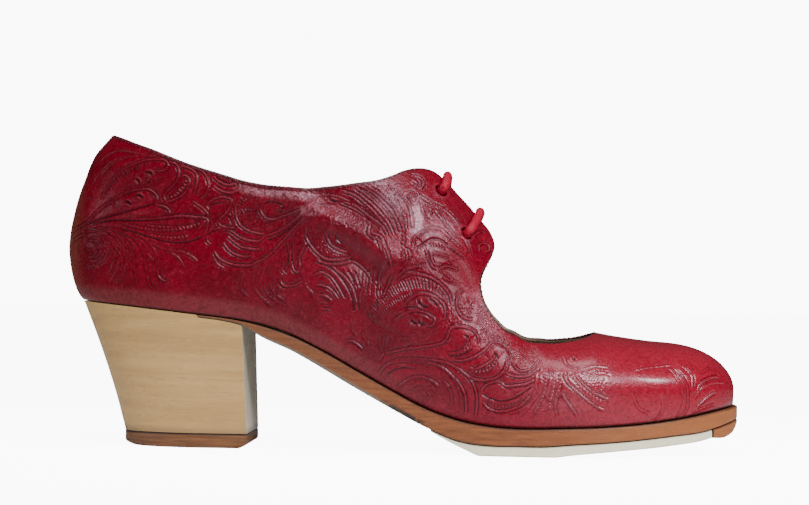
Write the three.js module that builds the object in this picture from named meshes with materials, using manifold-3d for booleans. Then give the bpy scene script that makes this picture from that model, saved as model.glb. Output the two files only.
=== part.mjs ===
// Right flamenco shoe: tooled leather upper, leather sole, rubber half sole, wooden heel
// Millimetres, +Z up, toe towards +X, outer side of the foot towards -Y

import * as THREE from 'three';
import { mergeVertices } from 'three/addons/utils/BufferGeometryUtils.js';
import Module from 'manifold-3d';

const wasm = await Module();
wasm.setup();

// Driving dimensions of the last
const SHOE_LENGTH = 254.2;
const BALL_WIDTH = 84;
const INSTEP_HEIGHT = 91;
const SEAT_HEIGHT = 54.6;
const TOE_SPRING = 8.2;
const FIT_GAP = 0.3;

// Driving dimensions of the layers
const UPPER_WALL = 1.8;
const INSOLE_THICKNESS = 2.4;
const OUTSOLE_THICKNESS = 6;
const OUTSOLE_EDGE = 2.6;
const HALF_SOLE_THICKNESS = 3.7;
const HALF_SOLE_INSET = 0.5;
const TOE_PIECE_THICKNESS = 3.6;
const LIFT_THICKNESS = 5.2;
const LIFT_BEVEL = 2;

// Driving dimensions of the heel block
const HEEL_BREAST = 69.4;
const HEEL_BREAST_LEAN = 2;
const HEEL_BASE_LENGTH = 48.6;
const HEEL_BASE_WIDTH = 43;
const HEEL_BACK_HOLLOW = 1;
const HEEL_SEAT_EDGE = 0.3;
const LIFT_EDGE = 0.3;

// Driving dimensions of the lacing
const LACE_DIAMETER = 3.4;
const LACE_HOLE = 4.4;
const LACE_LIFT = 0.4;
const LACE_SAG = 0.8;

// Sides of the foot, used as the sign of Y
const OUTER = -1;
const INNER = 1;

// The sole line is the edge where upper and sole meet; the ball is its lowest place
const BALL_LINE = HALF_SOLE_THICKNESS + OUTSOLE_THICKNESS + 2 * FIT_GAP;

// Sole line: seat is a share of the climb to the heel seat, toe a share of the toe spring
const SOLE_LINE = [
  { along: 0.0, seat: 1.0, toe: 0 },
  { along: 0.13, seat: 0.937, toe: 0 },
  { along: 0.212, seat: 0.892, toe: 0 },
  { along: 0.262, seat: 0.858, toe: 0 },
  { along: 0.3, seat: 0.813, toe: 0 },
  { along: 0.349, seat: 0.722, toe: 0 },
  { along: 0.397, seat: 0.592, toe: 0 },
  { along: 0.445, seat: 0.442, toe: 0 },
  { along: 0.494, seat: 0.291, toe: 0 },
  { along: 0.543, seat: 0.152, toe: 0 },
  { along: 0.591, seat: 0.06, toe: 0 },
  { along: 0.638, seat: 0.013, toe: 0 },
  { along: 0.678, seat: 0, toe: 0 },
  { along: 0.74, seat: 0, toe: 0.04 },
  { along: 0.82, seat: 0, toe: 0.159 },
  { along: 0.893, seat: 0, toe: 0.4 },
  { along: 0.932, seat: 0, toe: 0.598 },
  { along: 0.967, seat: 0, toe: 0.81 },
  { along: 1.0, seat: 0, toe: 1.0 },
];

// Widths of the last's sections from its spine, as shares of the ball width: "line" at the
// sole line and "girth" at the fullest height, for the outer and the inner side of the foot
const LAST = [
  { along: 0.0, spine: 0, lineOut: 0.31, lineIn: 0.31, girthOut: 0.346, girthIn: 0.346 },
  { along: 0.113, spine: 0, lineOut: 0.31, lineIn: 0.31, girthOut: 0.346, girthIn: 0.346 },
  { along: 0.192, spine: 0, lineOut: 0.312, lineIn: 0.31, girthOut: 0.348, girthIn: 0.345 },
  { along: 0.271, spine: -0.006, lineOut: 0.306, lineIn: 0.29, girthOut: 0.346, girthIn: 0.344 },
  { along: 0.349, spine: -0.018, lineOut: 0.303, lineIn: 0.256, girthOut: 0.349, girthIn: 0.343 },
  { along: 0.428, spine: -0.03, lineOut: 0.318, lineIn: 0.238, girthOut: 0.364, girthIn: 0.351 },
  { along: 0.507, spine: -0.03, lineOut: 0.362, lineIn: 0.262, girthOut: 0.402, girthIn: 0.381 },
  { along: 0.585, spine: -0.018, lineOut: 0.424, lineIn: 0.345, girthOut: 0.456, girthIn: 0.424 },
  { along: 0.644, spine: -0.006, lineOut: 0.464, lineIn: 0.416, girthOut: 0.49, girthIn: 0.461 },
  { along: 0.715, spine: 0.002, lineOut: 0.487, lineIn: 0.463, girthOut: 0.507, girthIn: 0.49 },
  { along: 0.762, spine: 0.006, lineOut: 0.486, lineIn: 0.472, girthOut: 0.504, girthIn: 0.496 },
  { along: 0.821, spine: 0.014, lineOut: 0.471, lineIn: 0.461, girthOut: 0.487, girthIn: 0.479 },
  { along: 0.888, spine: 0.026, lineOut: 0.452, lineIn: 0.436, girthOut: 0.466, girthIn: 0.451 },
  { along: 0.947, spine: 0.036, lineOut: 0.428, lineIn: 0.412, girthOut: 0.44, girthIn: 0.424 },
  { along: 1.0, spine: 0.042, lineOut: 0.402, lineIn: 0.392, girthOut: 0.412, girthIn: 0.402 },
];

// Heights of the sections over the sole line, as shares of the instep height, and the
// exponent of their curve. The ridge is where the sides would meet on the closed last.
const CONE = [
  { along: 0.0, bulge: 0.222, ridge: 0.88, round: 2 },
  { along: 0.113, bulge: 0.25, ridge: 0.92, round: 2 },
  { along: 0.192, bulge: 0.265, ridge: 0.98, round: 2 },
  { along: 0.271, bulge: 0.255, ridge: 1.08, round: 2 },
  { along: 0.349, bulge: 0.25, ridge: 1.17, round: 2 },
  { along: 0.428, bulge: 0.26, ridge: 1.14, round: 1.95 },
  { along: 0.507, bulge: 0.268, ridge: 1.052, round: 1.87 },
  { along: 0.542, bulge: 0.264, ridge: 1.022, round: 1.78 },
  { along: 0.585, bulge: 0.25, ridge: 0.955, round: 1.64 },
  { along: 0.615, bulge: 0.234, ridge: 0.887, round: 1.48 },
  { along: 0.644, bulge: 0.215, ridge: 0.795, round: 1.36 },
  { along: 0.662, bulge: 0.203, ridge: 0.63, round: 1.44 },
  { along: 0.68, bulge: 0.191, ridge: 0.49, round: 1.62 },
  { along: 0.715, bulge: 0.17, ridge: 0.398, round: 1.95 },
  { along: 0.75, bulge: 0.152, ridge: 0.373, round: 2.05 },
  { along: 0.792, bulge: 0.137, ridge: 0.371, round: 2.1 },
  { along: 0.821, bulge: 0.13, ridge: 0.353, round: 2.1 },
  { along: 0.888, bulge: 0.108, ridge: 0.312, round: 2.05 },
  { along: 0.947, bulge: 0.086, ridge: 0.283, round: 2 },
  { along: 1.0, bulge: 0.06, ridge: 0.25, round: 2 },
];

// Heel and toe close like superellipses from these places on; the cap closes the toe's height
const HEEL_CENTRE = 0.192;
const TOE_CENTRE = 0.743;
const CAP_CENTRE = 0.888;
const HEEL_ROUND = 2.2;
const TOE_ROUND = 2.3;
const CAP_ROUND = 2;
const TUCK_ROUND = 1.7;

// Back of the heel: lean from its fullest place, over the height above the sole line
const BACK_LEAN = [
  { height: 0.0, lean: 0 },
  { height: 0.222, lean: 0 },
  { height: 0.29, lean: 0.0022 },
  { height: 0.355, lean: 0.0067 },
  { height: 0.437, lean: 0.0142 },
  { height: 0.509, lean: 0.0232 },
  { height: 0.565, lean: 0.0303 },
  { height: 0.611, lean: 0.0385 },
  { height: 0.653, lean: 0.0507 },
  { height: 0.7, lean: 0.066 },
];
const HEEL_TUCK = 0.0252 * SHOE_LENGTH;
const TOE_TUCK = 0.0012 * SHOE_LENGTH;

// Collar round the heel, by its height over the sole line
const COLLAR = [
  { along: 0.0, height: 0.697 },
  { along: 0.028, height: 0.688 },
  { along: 0.072, height: 0.671 },
  { along: 0.118, height: 0.652 },
  { along: 0.178, height: 0.62 },
  { along: 0.225, height: 0.594 },
];

// Top edge from the side of the heel to the throat. A row of the surface rises from foot, on
// the sole line, to head, on the edge. Height is over the sole line, gap is from the spine.
const TOP_EDGE = [
  { foot: 0.178, head: 0.178, height: 0.62 },
  { foot: 0.225, head: 0.225, height: 0.594 },
  { foot: 0.27, head: 0.27, height: 0.574 },
  { foot: 0.314, head: 0.314, height: 0.582 },
  { foot: 0.357, head: 0.358, height: 0.618 },
  { foot: 0.391, head: 0.393, height: 0.671 },
  { foot: 0.421, head: 0.428, height: 0.737 },
  { foot: 0.448, head: 0.463, height: 0.806 },
  { foot: 0.469, head: 0.488, height: 0.866 },
  { foot: 0.482, head: 0.507, height: 0.918 },
  { foot: 0.494, head: 0.5245, height: 0.955 },
  { foot: 0.505, head: 0.542, height: 0.974 },
  { foot: 0.515, head: 0.555, height: 0.972 },
  { foot: 0.526, head: 0.5705, height: 0.948 },
  { foot: 0.537, head: 0.5865, height: 0.914 },
  { foot: 0.55, head: 0.607, height: 0.866 },
  { foot: 0.562, head: 0.6235, height: 0.82 },
  { foot: 0.573, head: 0.636, height: 0.778 },
  { foot: 0.583, head: 0.6415, height: 0.733 },
  { foot: 0.59, head: 0.638, height: 0.693 },
  { foot: 0.597, head: 0.6305, height: 0.655 },
  { foot: 0.605, head: 0.623, height: 0.617 },
  { foot: 0.613, head: 0.6202, height: 0.577 },
  { foot: 0.622, head: 0.6225, height: 0.528 },
  { foot: 0.632, head: 0.6295, height: 0.48 },
  { foot: 0.646, head: 0.6435, height: 0.43 },
  { foot: 0.662, head: 0.661, height: 0.388 },
  { foot: 0.682, head: 0.682, height: 0.36 },
  { foot: 0.714, head: 0.714, height: 0.342 },
  { foot: 0.748, head: 0.748, gap: 0.266 },
  { foot: 0.774, head: 0.774, gap: 0.2 },
  { foot: 0.787, head: 0.787, gap: 0.112 },
  { foot: 0.792, head: 0.792, gap: 0 },
];

// Beside the throat the inner side's edge stands a little higher and nearer to the spine
const INNER_EDGE_LIFT = 0.008;
const INNER_GAP = 0.88;
const INNER_LIFT_CENTRE = 0.715;
const INNER_LIFT_REACH = 0.06;

// Rows in front of the throat reach the spine, and fan out round the toe
const FAN_START = 0.86;
const FAN_HEAD = 0.965;

// Leather sole: its thickness thins out over the heel, its edge stands off the upper
const OUTSOLE = [
  { along: 0.208, thick: 0.1, edge: 0.1 },
  { along: 0.25, thick: 0.15, edge: 0.15 },
  { along: 0.274, thick: 0.24, edge: 0.25 },
  { along: 0.3, thick: 0.65, edge: 0.4 },
  { along: 0.349, thick: 0.9, edge: 0.5 },
  { along: 0.397, thick: 1.05, edge: 0.55 },
  { along: 0.494, thick: 1.08, edge: 0.65 },
  { along: 0.543, thick: 1.1, edge: 0.75 },
  { along: 0.591, thick: 1.21, edge: 0.85 },
  { along: 0.638, thick: 1.1, edge: 1.0 },
  { along: 0.678, thick: 1.0, edge: 1.0 },
  { along: 0.715, thick: 1.01, edge: 1.0 },
  { along: 0.76, thick: 0.93, edge: 1.0 },
  { along: 0.821, thick: 0.89, edge: 0.95 },
  { along: 0.893, thick: 0.9, edge: 0.85 },
  { along: 0.95, thick: 1.02, edge: 0.75 },
  { along: 1.0, thick: 0.8, edge: 0.65 },
];
const OUTSOLE_REAR = OUTSOLE[0].along;

// Rubber tread: feathered at the waist, flat on the floor at the ball, cut square at the toe
const HALF_SOLE = [
  { along: 0.552, thick: 0.1 },
  { along: 0.575, thick: 0.28 },
  { along: 0.6, thick: 0.6 },
  { along: 0.625, thick: 1.12 },
  { along: 0.68, thick: 1.1 },
  { along: 0.725, thick: 1.1 },
  { along: 0.762, thick: 0.98 },
  { along: 0.821, thick: 0.88 },
  { along: 0.893, thick: 0.92 },
  { along: 0.957, thick: 0.83 },
];
const HALF_SOLE_REAR = HALF_SOLE[0].along;
const HALF_SOLE_FRONT = HALF_SOLE[HALF_SOLE.length - 1].along;

// Leather layer in front of the rubber, its underside curling up to the tip
const TOE_PIECE = [
  { along: 0.957, thick: 0.85 },
  { along: 0.981, thick: 1.26 },
  { along: 0.991, thick: 1.05 },
  { along: 1.0, thick: 0.3 },
];

// Heel block: rings between the base and the seat, scaled about the breast
const HEEL_RINGS = [
  { level: 0, hollow: 0 },
  { level: 0.25, hollow: 0.8 },
  { level: 0.5, hollow: 1 },
  { level: 0.75, hollow: 0.7 },
  { level: 1, hollow: 0 },
];
const HEEL_BASE_Z = LIFT_THICKNESS + FIT_GAP;

// Counts of rows and steps of the surface
const HEEL_ROWS = 8;
const EDGE_ROWS = 40;
const VAMP_ROWS = 4;
const FAN_ROWS = 9;
const LOW_STEPS = 3;
const HIGH_STEPS = 8;
const MIDDLE_STATIONS = 24;
const STATION_GAP = 0.002;
const ROUND_STEPS = [0, 0.12, 0.24, 0.36, 0.48, 0.6, 0.72, 0.84, 0.93, 1];
const LACE_SIDES = 8;
const LACE_STEPS = 76;

// Rounding of the leather and rubber edges, and wear of the lift's walking edge
const EDGE_ROUNDING = 0.7;
const EDGE_SHOULDER = 0.22;
const RUBBER_SHOULDER = 0.2;
const LIFT_WEAR_LEAST = 0.3;
const LIFT_WEAR_ROUND = 3;
const LIFT_END_TUCK = 1.6;
const LIFT_SIDE_TUCK = 0.6;

// Eyelets, from the top down: place along the shoe and height over the sole line
const EYELETS = [
  { along: 0.5606, height: 0.902 },
  { along: 0.599, height: 0.758 },
];

// Where the two bars of the lace cross the top edge
const LACE_CROSSINGS = [
  { along: 0.568 },
  { along: 0.617 },
];

// Places of the cord behind the facings, as shares of the way between the two eyelets
const LACE_START = [0.55, 0.25];
const LACE_LINK = [0.2, 0.5, 0.8];

// Search for the place on the top edge that a bar crosses
const EDGE_SEARCH = 120;
const EDGE_SEARCH_FROM = 10;
const EDGE_SEARCH_TO = 18;

// Tools and tolerances
const NORMAL_STEP = 0.004;
const MERGE_GAP = 1e-4;
const PUNCH_DEPTH = 6 * UPPER_WALL;
const PUNCH_SIDES = 16;

// Plain finishes, for telling the pieces apart
const RED_LEATHER = { colour: 0x8e1220, roughness: 0.35 };
const SOLE_LEATHER = { colour: 0x9a5a2c, roughness: 0.6 };
const CREAM_RUBBER = { colour: 0xe9e2cf, roughness: 0.8 };
const TOE_LEATHER = { colour: 0x8a4c26, roughness: 0.6 };
const LINING_LEATHER = { colour: 0x8d8672, roughness: 0.8 };
const HEEL_WOOD = { colour: 0xcbb083, roughness: 0.5 };
const LIFT_LEATHER = { colour: 0x6e3a26, roughness: 0.6 };
const RED_CORD = { colour: 0xd1121f, roughness: 0.6 };

const QUARTER_TURN = Math.PI / 2;

// Smooth curve through the rows of a table, read at one value of its key column
function readTable(table, key, column, at) {
  const last = table.length - 1;
  const place = Math.min(Math.max(at, table[0][key]), table[last][key]);
  let low = 0;
  while (low < last - 1 && table[low + 1][key] < place) {
    low += 1;
  }
  const slope = (from, to) => (table[to][column] - table[from][column]) / (table[to][key] - table[from][key]);
  const bend = (row) => {
    if (row === 0) return slope(0, 1);
    if (row === last) return slope(last - 1, last);
    const before = table[row][key] - table[row - 1][key];
    const after = table[row + 1][key] - table[row][key];
    return (slope(row - 1, row) * after + slope(row, row + 1) * before) / (before + after);
  };
  const span = table[low + 1][key] - table[low][key];
  const t = (place - table[low][key]) / span;
  const start = table[low][column];
  const end = table[low + 1][column];
  const ease = THREE.MathUtils.smoothstep(t, 0, 1);
  return start + (end - start) * ease
    + span * (bend(low) * t * (1 - t) ** 2 - bend(low + 1) * t * t * (1 - t));
}

function soleLine(along) {
  const climb = readTable(SOLE_LINE, 'along', 'seat', along) * (SEAT_HEIGHT - BALL_LINE);
  return BALL_LINE + climb + readTable(SOLE_LINE, 'along', 'toe', along) * TOE_SPRING;
}

function last(along, column) {
  return readTable(LAST, 'along', column, along);
}

function cone(along, column) {
  return readTable(CONE, 'along', column, along);
}

function spineY(along) {
  return last(along, 'spine') * BALL_WIDTH;
}

function closing(share, round) {
  return Math.max(0, 1 - Math.min(share, 1) ** round) ** (1 / round);
}

function heelShare(along) {
  return Math.max(0, (HEEL_CENTRE - along) / HEEL_CENTRE);
}

function toeShare(along) {
  return Math.max(0, (along - TOE_CENTRE) / (1 - TOE_CENTRE));
}

function endClosing(along) {
  return closing(heelShare(along), HEEL_ROUND) * closing(toeShare(along), TOE_ROUND);
}

// Half width from the spine at the sole line or at the girth, plus a margin
function halfWidth(side, along, level, margin = 0) {
  const column = level + (side === OUTER ? 'Out' : 'In');
  return (last(along, column) * BALL_WIDTH + margin) * endClosing(along);
}

// Point of a plan outline whose back and tip stand off from the last's own
function planPoint(side, along, width, backShift, tipShift) {
  const x = along * SHOE_LENGTH + backShift * heelShare(along) + tipShift * toeShare(along);
  return [x, spineY(along) + side * width];
}

// Outline at the sole line, grown all round by a margin
function linePoint(side, along, margin) {
  const width = halfWidth(side, along, 'line', margin);
  return planPoint(side, along, width, HEEL_TUCK - margin, margin - TOE_TUCK);
}

function bulgeZ(along) {
  return soleLine(along) + cone(along, 'bulge') * INSTEP_HEIGHT;
}

function ridgeRise(along) {
  const cap = Math.max(0, (along - CAP_CENTRE) / (1 - CAP_CENTRE));
  const rise = (cone(along, 'ridge') - cone(along, 'bulge')) * INSTEP_HEIGHT;
  return rise * closing(cap, CAP_ROUND);
}

function backLean(along, z) {
  const height = (z - soleLine(along)) / INSTEP_HEIGHT;
  return readTable(BACK_LEAN, 'height', 'lean', height) * SHOE_LENGTH;
}

// Distance from the spine as a share of the section's half width, from 1 at the girth to 0
function reachOfHeight(along, height) {
  const rise = (height - cone(along, 'bulge')) * INSTEP_HEIGHT / ridgeRise(along);
  return closing(rise, cone(along, 'round'));
}

function reachOfGap(side, along, gap) {
  return Math.min(1, gap * BALL_WIDTH / halfWidth(side, along, 'girth'));
}

// Widths of the sections at a row's foot and at some place on it, as a ratio
function spread(side, row, along) {
  if (row.foot === along) return 1;
  return halfWidth(side, row.foot, 'girth') / halfWidth(side, along, 'girth');
}

// Angle that a row sweeps from the girth to the top edge, a quarter turn at the spine
function sweepTo(side, row, reach) {
  const share = Math.min(1, reach / spread(side, { foot: row.foot }, row.head));
  return Math.acos(share ** (cone(row.head, 'round') / 2));
}

// Rows of the top edge with the angle that each one sweeps
function edgeKeys(side) {
  return TOP_EDGE.map((key, index) => {
    const offset = (key.head - INNER_LIFT_CENTRE) / INNER_LIFT_REACH;
    const lift = side === INNER ? INNER_EDGE_LIFT * Math.exp(-offset * offset) : 0;
    const reach = key.gap === undefined
      ? reachOfHeight(key.head, key.height + lift)
      : reachOfGap(side, key.head, key.gap * (side === INNER ? INNER_GAP : 1));
    return { index, foot: key.foot, head: key.head, sweep: sweepTo(side, key, reach) };
  });
}

// Row of the top edge at a place between two of its keys
function edgeRow(keys, place) {
  return {
    foot: readTable(keys, 'index', 'foot', place),
    head: readTable(keys, 'index', 'head', place),
    sweep: readTable(keys, 'index', 'sweep', place),
  };
}

// Row round the heel: turn runs from 0 at its side to 1 at the middle of its back
function heelRow(side, turn) {
  const along = TOP_EDGE[0].head * (1 - Math.sin(turn * QUARTER_TURN));
  const row = { foot: along, head: along };
  row.sweep = sweepTo(side, row, reachOfHeight(along, readTable(COLLAR, 'along', 'height', along)));
  return row;
}

// Row round the toe: turn runs from 0 at the vamp to 1 at the middle of the toe
function fanRow(turn) {
  return {
    foot: FAN_START + (1 - FAN_START) * Math.sin(turn * QUARTER_TURN),
    head: FAN_START + (FAN_HEAD - FAN_START) * turn,
    sweep: QUARTER_TURN,
    closed: true,
  };
}

// Rows from the middle of the toe to the middle of the heel's back
function sideRows(side) {
  const keys = edgeKeys(side);
  const throat = keys[keys.length - 1].head;
  const rows = [];
  for (let step = 0; step < FAN_ROWS; step += 1) {
    rows.push(fanRow(1 - step / FAN_ROWS));
  }
  for (let step = 0; step < VAMP_ROWS; step += 1) {
    const along = FAN_START + (throat - FAN_START) * step / VAMP_ROWS;
    rows.push({ foot: along, head: along, sweep: QUARTER_TURN, closed: true });
  }
  for (let step = 0; step < EDGE_ROWS; step += 1) {
    const place = (keys.length - 1) * (1 - step / EDGE_ROWS);
    rows.push({ ...edgeRow(keys, place), closed: step === 0 });
  }
  for (let step = 0; step <= HEEL_ROWS; step += 1) {
    rows.push(heelRow(side, step / HEEL_ROWS));
  }
  return rows;
}

// Point of the outer surface: rise is -1 at the sole line, 0 at the girth, 1 at the row's head
function surfacePoint(side, row, rise) {
  if (rise <= 0) {
    const turn = (1 + rise) * QUARTER_TURN;
    const out = Math.sin(turn) ** (2 / TUCK_ROUND);
    const up = 1 - Math.cos(turn) ** (2 / TUCK_ROUND);
    const low = linePoint(side, row.foot, 0);
    const high = planPoint(side, row.foot, halfWidth(side, row.foot, 'girth'), 0, 0);
    return new THREE.Vector3(
      low[0] + (high[0] - low[0]) * out,
      low[1] + (high[1] - low[1]) * out,
      soleLine(row.foot) + (bulgeZ(row.foot) - soleLine(row.foot)) * up,
    );
  }
  const along = row.foot + (row.head - row.foot) * (1 - Math.cos(rise * QUARTER_TURN));
  const round = cone(along, 'round');
  const inward = Math.max(0, Math.cos(rise * row.sweep)) ** (2 / round);
  const reach = Math.min(1, inward * spread(side, row, along));
  const z = bulgeZ(along) + ridgeRise(along) * closing(reach, round);
  const width = reach * halfWidth(side, along, 'girth');
  const plan = planPoint(side, along, width, backLean(along, z), 0);
  return new THREE.Vector3(plan[0], plan[1], z);
}

// Point of the outer surface over a place along the shoe, at a height over the sole line
function surfaceAt(side, along, height) {
  const row = { foot: along, head: along };
  row.sweep = sweepTo(side, row, reachOfHeight(along, height));
  return surfacePoint(side, row, 1);
}

function surfaceNormal(side, along, height) {
  const ahead = surfaceAt(side, along + NORMAL_STEP, height);
  const above = surfaceAt(side, along, height + NORMAL_STEP);
  const lengthwise = ahead.sub(surfaceAt(side, along - NORMAL_STEP, height));
  const upward = above.sub(surfaceAt(side, along, height - NORMAL_STEP));
  return lengthwise.cross(upward).normalize().multiplyScalar(-side);
}

// Indexed mesh from a list of points and a list of corner triples
function meshGeometry(points, corners) {
  const geometry = new THREE.BufferGeometry();
  const flat = points.flatMap((point) => [point.x, point.y, point.z]);
  geometry.setAttribute('position', new THREE.Float32BufferAttribute(flat, 3));
  geometry.setIndex(corners.flat());
  return dropThinFaces(mergeVertices(geometry, MERGE_GAP));
}

function dropThinFaces(geometry) {
  const index = geometry.index.array;
  const kept = [];
  for (let at = 0; at < index.length; at += 3) {
    const [a, b, c] = [index[at], index[at + 1], index[at + 2]];
    if (a !== b && b !== c && c !== a) kept.push(a, b, c);
  }
  geometry.setIndex(kept);
  return geometry;
}

function toManifold(geometry) {
  const bare = new THREE.BufferGeometry();
  bare.setAttribute('position', geometry.getAttribute('position'));
  bare.setIndex(geometry.index);
  const merged = dropThinFaces(mergeVertices(bare, MERGE_GAP));
  return new wasm.Manifold(new wasm.Mesh({
    numProp: 3,
    vertProperties: Float32Array.from(merged.getAttribute('position').array),
    triVerts: Uint32Array.from(merged.index.array),
  }));
}

function toGeometry(solid) {
  const mesh = solid.getMesh();
  const geometry = new THREE.BufferGeometry();
  geometry.setAttribute('position', new THREE.Float32BufferAttribute(mesh.vertProperties, 3));
  geometry.setIndex(Array.from(mesh.triVerts));
  return geometry;
}

// Hollow shell of the upper: outer wall, inner wall, top edge and bottom edge
function upperShell() {
  const outerRows = sideRows(OUTER);
  const innerRows = sideRows(INNER);
  const backRow = outerRows.length - 1;
  const columns = outerRows.map((row, index) => ({ side: OUTER, row, index }));
  for (let index = backRow - 1; index > 0; index -= 1) {
    columns.push({ side: INNER, row: innerRows[index], index });
  }
  const rises = [];
  for (let step = 0; step <= LOW_STEPS; step += 1) rises.push(step / LOW_STEPS - 1);
  for (let step = 1; step <= HIGH_STEPS; step += 1) rises.push(step / HIGH_STEPS);
  const top = rises.length - 1;

  const points = [];
  const ids = columns.map((column) => rises.map((rise, level) => {
    if (level === top && column.side === INNER && column.row.closed) return column.index * rises.length + top;
    points.push(surfacePoint(column.side, column.row, rise));
    return points.length - 1;
  }));
  const quads = [];
  columns.forEach((column, at) => {
    const next = (at + 1) % columns.length;
    for (let level = 0; level < top; level += 1) {
      quads.push([ids[at][level], ids[at][level + 1], ids[next][level + 1], ids[next][level]]);
    }
  });
  const outerFaces = quads.flatMap(([a, b, c, d]) => [[a, b, c], [a, c, d]]).filter(([a, b, c]) => (
    a !== b && b !== c && c !== a
  ));

  const normals = points.map(() => new THREE.Vector3());
  outerFaces.forEach((face) => {
    const [a, b, c] = face.map((id) => points[id]);
    const normal = b.clone().sub(a).cross(c.clone().sub(a));
    face.forEach((id) => normals[id].add(normal));
  });
  const inside = points.map((point, id) => {
    return point.clone().addScaledVector(normals[id].normalize(), -UPPER_WALL);
  });
  columns.forEach((column, at) => {
    const [x, y] = linePoint(column.side, column.row.foot, -UPPER_WALL);
    inside[ids[at][0]].set(x, y, soleLine(column.row.foot));
  });

  const shift = points.length;
  const faces = [...outerFaces, ...outerFaces.map(([a, b, c]) => [a + shift, c + shift, b + shift])];
  columns.forEach((column, at) => {
    const next = (at + 1) % columns.length;
    const [low, lowNext] = [ids[at][0], ids[next][0]];
    faces.push([low, lowNext, lowNext + shift], [low, lowNext + shift, low + shift]);
    if (column.row.closed && columns[next].row.closed) return;
    const [high, highNext] = [ids[at][top], ids[next][top]];
    faces.push([high, high + shift, highNext + shift], [high, highNext + shift, highNext]);
  });
  return meshGeometry([...points, ...inside], faces);
}

// Solid made of closed rings of equal length, from the bottom up. Each ring runs along one
// side and back along the other, so its ends are capped by a ladder between the two sides.
function stackRings(rings) {
  const count = rings[0].length;
  const points = rings.flat();
  const faces = [];
  for (let level = 0; level < rings.length - 1; level += 1) {
    for (let at = 0; at < count; at += 1) {
      const next = (at + 1) % count;
      const [a, b] = [level * count + at, level * count + next];
      faces.push([a, b, b + count], [a, b + count, a + count]);
    }
  }
  const topShift = (rings.length - 1) * count;
  for (let at = 0; at < count / 2 - 1; at += 1) {
    const [a, b] = [at, at + 1];
    const [c, d] = [count - 2 - at, count - 1 - at];
    faces.push([a, d, c], [a, c, b]);
    faces.push([a + topShift, c + topShift, d + topShift], [a + topShift, b + topShift, c + topShift]);
  }
  return meshGeometry(points, faces);
}

// Places along the shoe that all layers share, closer together round the heel and the toe
function allStations() {
  const heel = ROUND_STEPS.map((turn) => HEEL_CENTRE * (1 - Math.sin((1 - turn) * QUARTER_TURN)));
  const toe = ROUND_STEPS.map((turn) => FAN_START + (1 - FAN_START) * Math.sin(turn * QUARTER_TURN));
  const middle = [];
  for (let step = 1; step < MIDDLE_STATIONS; step += 1) {
    middle.push(HEEL_CENTRE + (FAN_START - HEEL_CENTRE) * step / MIDDLE_STATIONS);
  }
  return [...heel, ...middle, ...toe];
}

function stations(from, to) {
  const inside = allStations().filter((place) => place > from + STATION_GAP && place < to - STATION_GAP);
  return [from, ...inside, to];
}

// Ring of an outline grown by a margin from the sole line, with its height at each place
function lineRing(places, margin, heightAt) {
  const point = (side, along) => {
    const [x, y] = linePoint(side, along, margin(along));
    return new THREE.Vector3(x, y, heightAt(along));
  };
  const there = places.map((along) => point(OUTER, along));
  const back = [...places].reverse().map((along) => point(INNER, along));
  return [...there, ...back];
}

function outsoleTop(along) {
  return soleLine(along) - FIT_GAP;
}

function outsoleBottom(along) {
  return outsoleTop(along) - readTable(OUTSOLE, 'along', 'thick', along) * OUTSOLE_THICKNESS;
}

function soleEdge(along) {
  return readTable(OUTSOLE, 'along', 'edge', along) * OUTSOLE_EDGE;
}

// Sole seen from below is flat across; its edge is slightly rounded over and under
function outsole(grow = 0) {
  const places = stations(OUTSOLE_REAR, 1);
  const edge = (inset) => (along) => soleEdge(along) - inset + grow;
  const between = (share) => (along) => (
    outsoleBottom(along) - grow + (outsoleTop(along) - outsoleBottom(along) + 2 * grow) * share
  );
  return stackRings([
    lineRing(places, edge(EDGE_ROUNDING), between(0)),
    lineRing(places, edge(0), between(EDGE_SHOULDER)),
    lineRing(places, edge(0), between(1 - EDGE_SHOULDER)),
    lineRing(places, edge(EDGE_ROUNDING), between(1)),
  ]);
}

function halfSoleTop(along) {
  return outsoleBottom(along) - FIT_GAP;
}

function halfSoleBottom(along) {
  const thick = readTable(HALF_SOLE, 'along', 'thick', along) * HALF_SOLE_THICKNESS;
  return Math.max(0, halfSoleTop(along) - thick);
}

function halfSole() {
  const places = stations(HALF_SOLE_REAR, HALF_SOLE_FRONT);
  const edge = (inset) => (along) => soleEdge(along) - HALF_SOLE_INSET - inset;
  const shoulder = (along) => (
    halfSoleBottom(along) + (halfSoleTop(along) - halfSoleBottom(along)) * RUBBER_SHOULDER
  );
  return stackRings([
    lineRing(places, edge(EDGE_ROUNDING), halfSoleBottom),
    lineRing(places, edge(0), shoulder),
    lineRing(places, edge(0), halfSoleTop),
  ]);
}

function toePiece() {
  const rear = HALF_SOLE_FRONT + FIT_GAP / SHOE_LENGTH;
  const places = stations(rear, 1);
  const edge = (inset) => (along) => soleEdge(along) - inset;
  const top = (along) => outsoleBottom(along) - FIT_GAP;
  const bottom = (along) => top(along) - readTable(TOE_PIECE, 'along', 'thick', along) * TOE_PIECE_THICKNESS;
  return stackRings([
    lineRing(places, edge(EDGE_ROUNDING), bottom),
    lineRing(places, edge(0), (along) => bottom(along) + (top(along) - bottom(along)) * EDGE_SHOULDER),
    lineRing(places, edge(0), top),
  ]);
}

// Footbed inside the upper's walls
function insole() {
  const places = stations(0, 1);
  const inset = -(UPPER_WALL + FIT_GAP);
  return stackRings([
    lineRing(places, () => inset, soleLine),
    lineRing(places, () => inset, (along) => soleLine(along) + INSOLE_THICKNESS),
  ]);
}

function heelOutline() {
  const front = HEEL_BREAST / SHOE_LENGTH;
  const sides = [front, HEEL_CENTRE + (front - HEEL_CENTRE) / 2];
  const back = ROUND_STEPS.map((turn) => HEEL_CENTRE * (1 - Math.sin(turn * QUARTER_TURN)));
  return [...sides, ...back];
}

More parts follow.
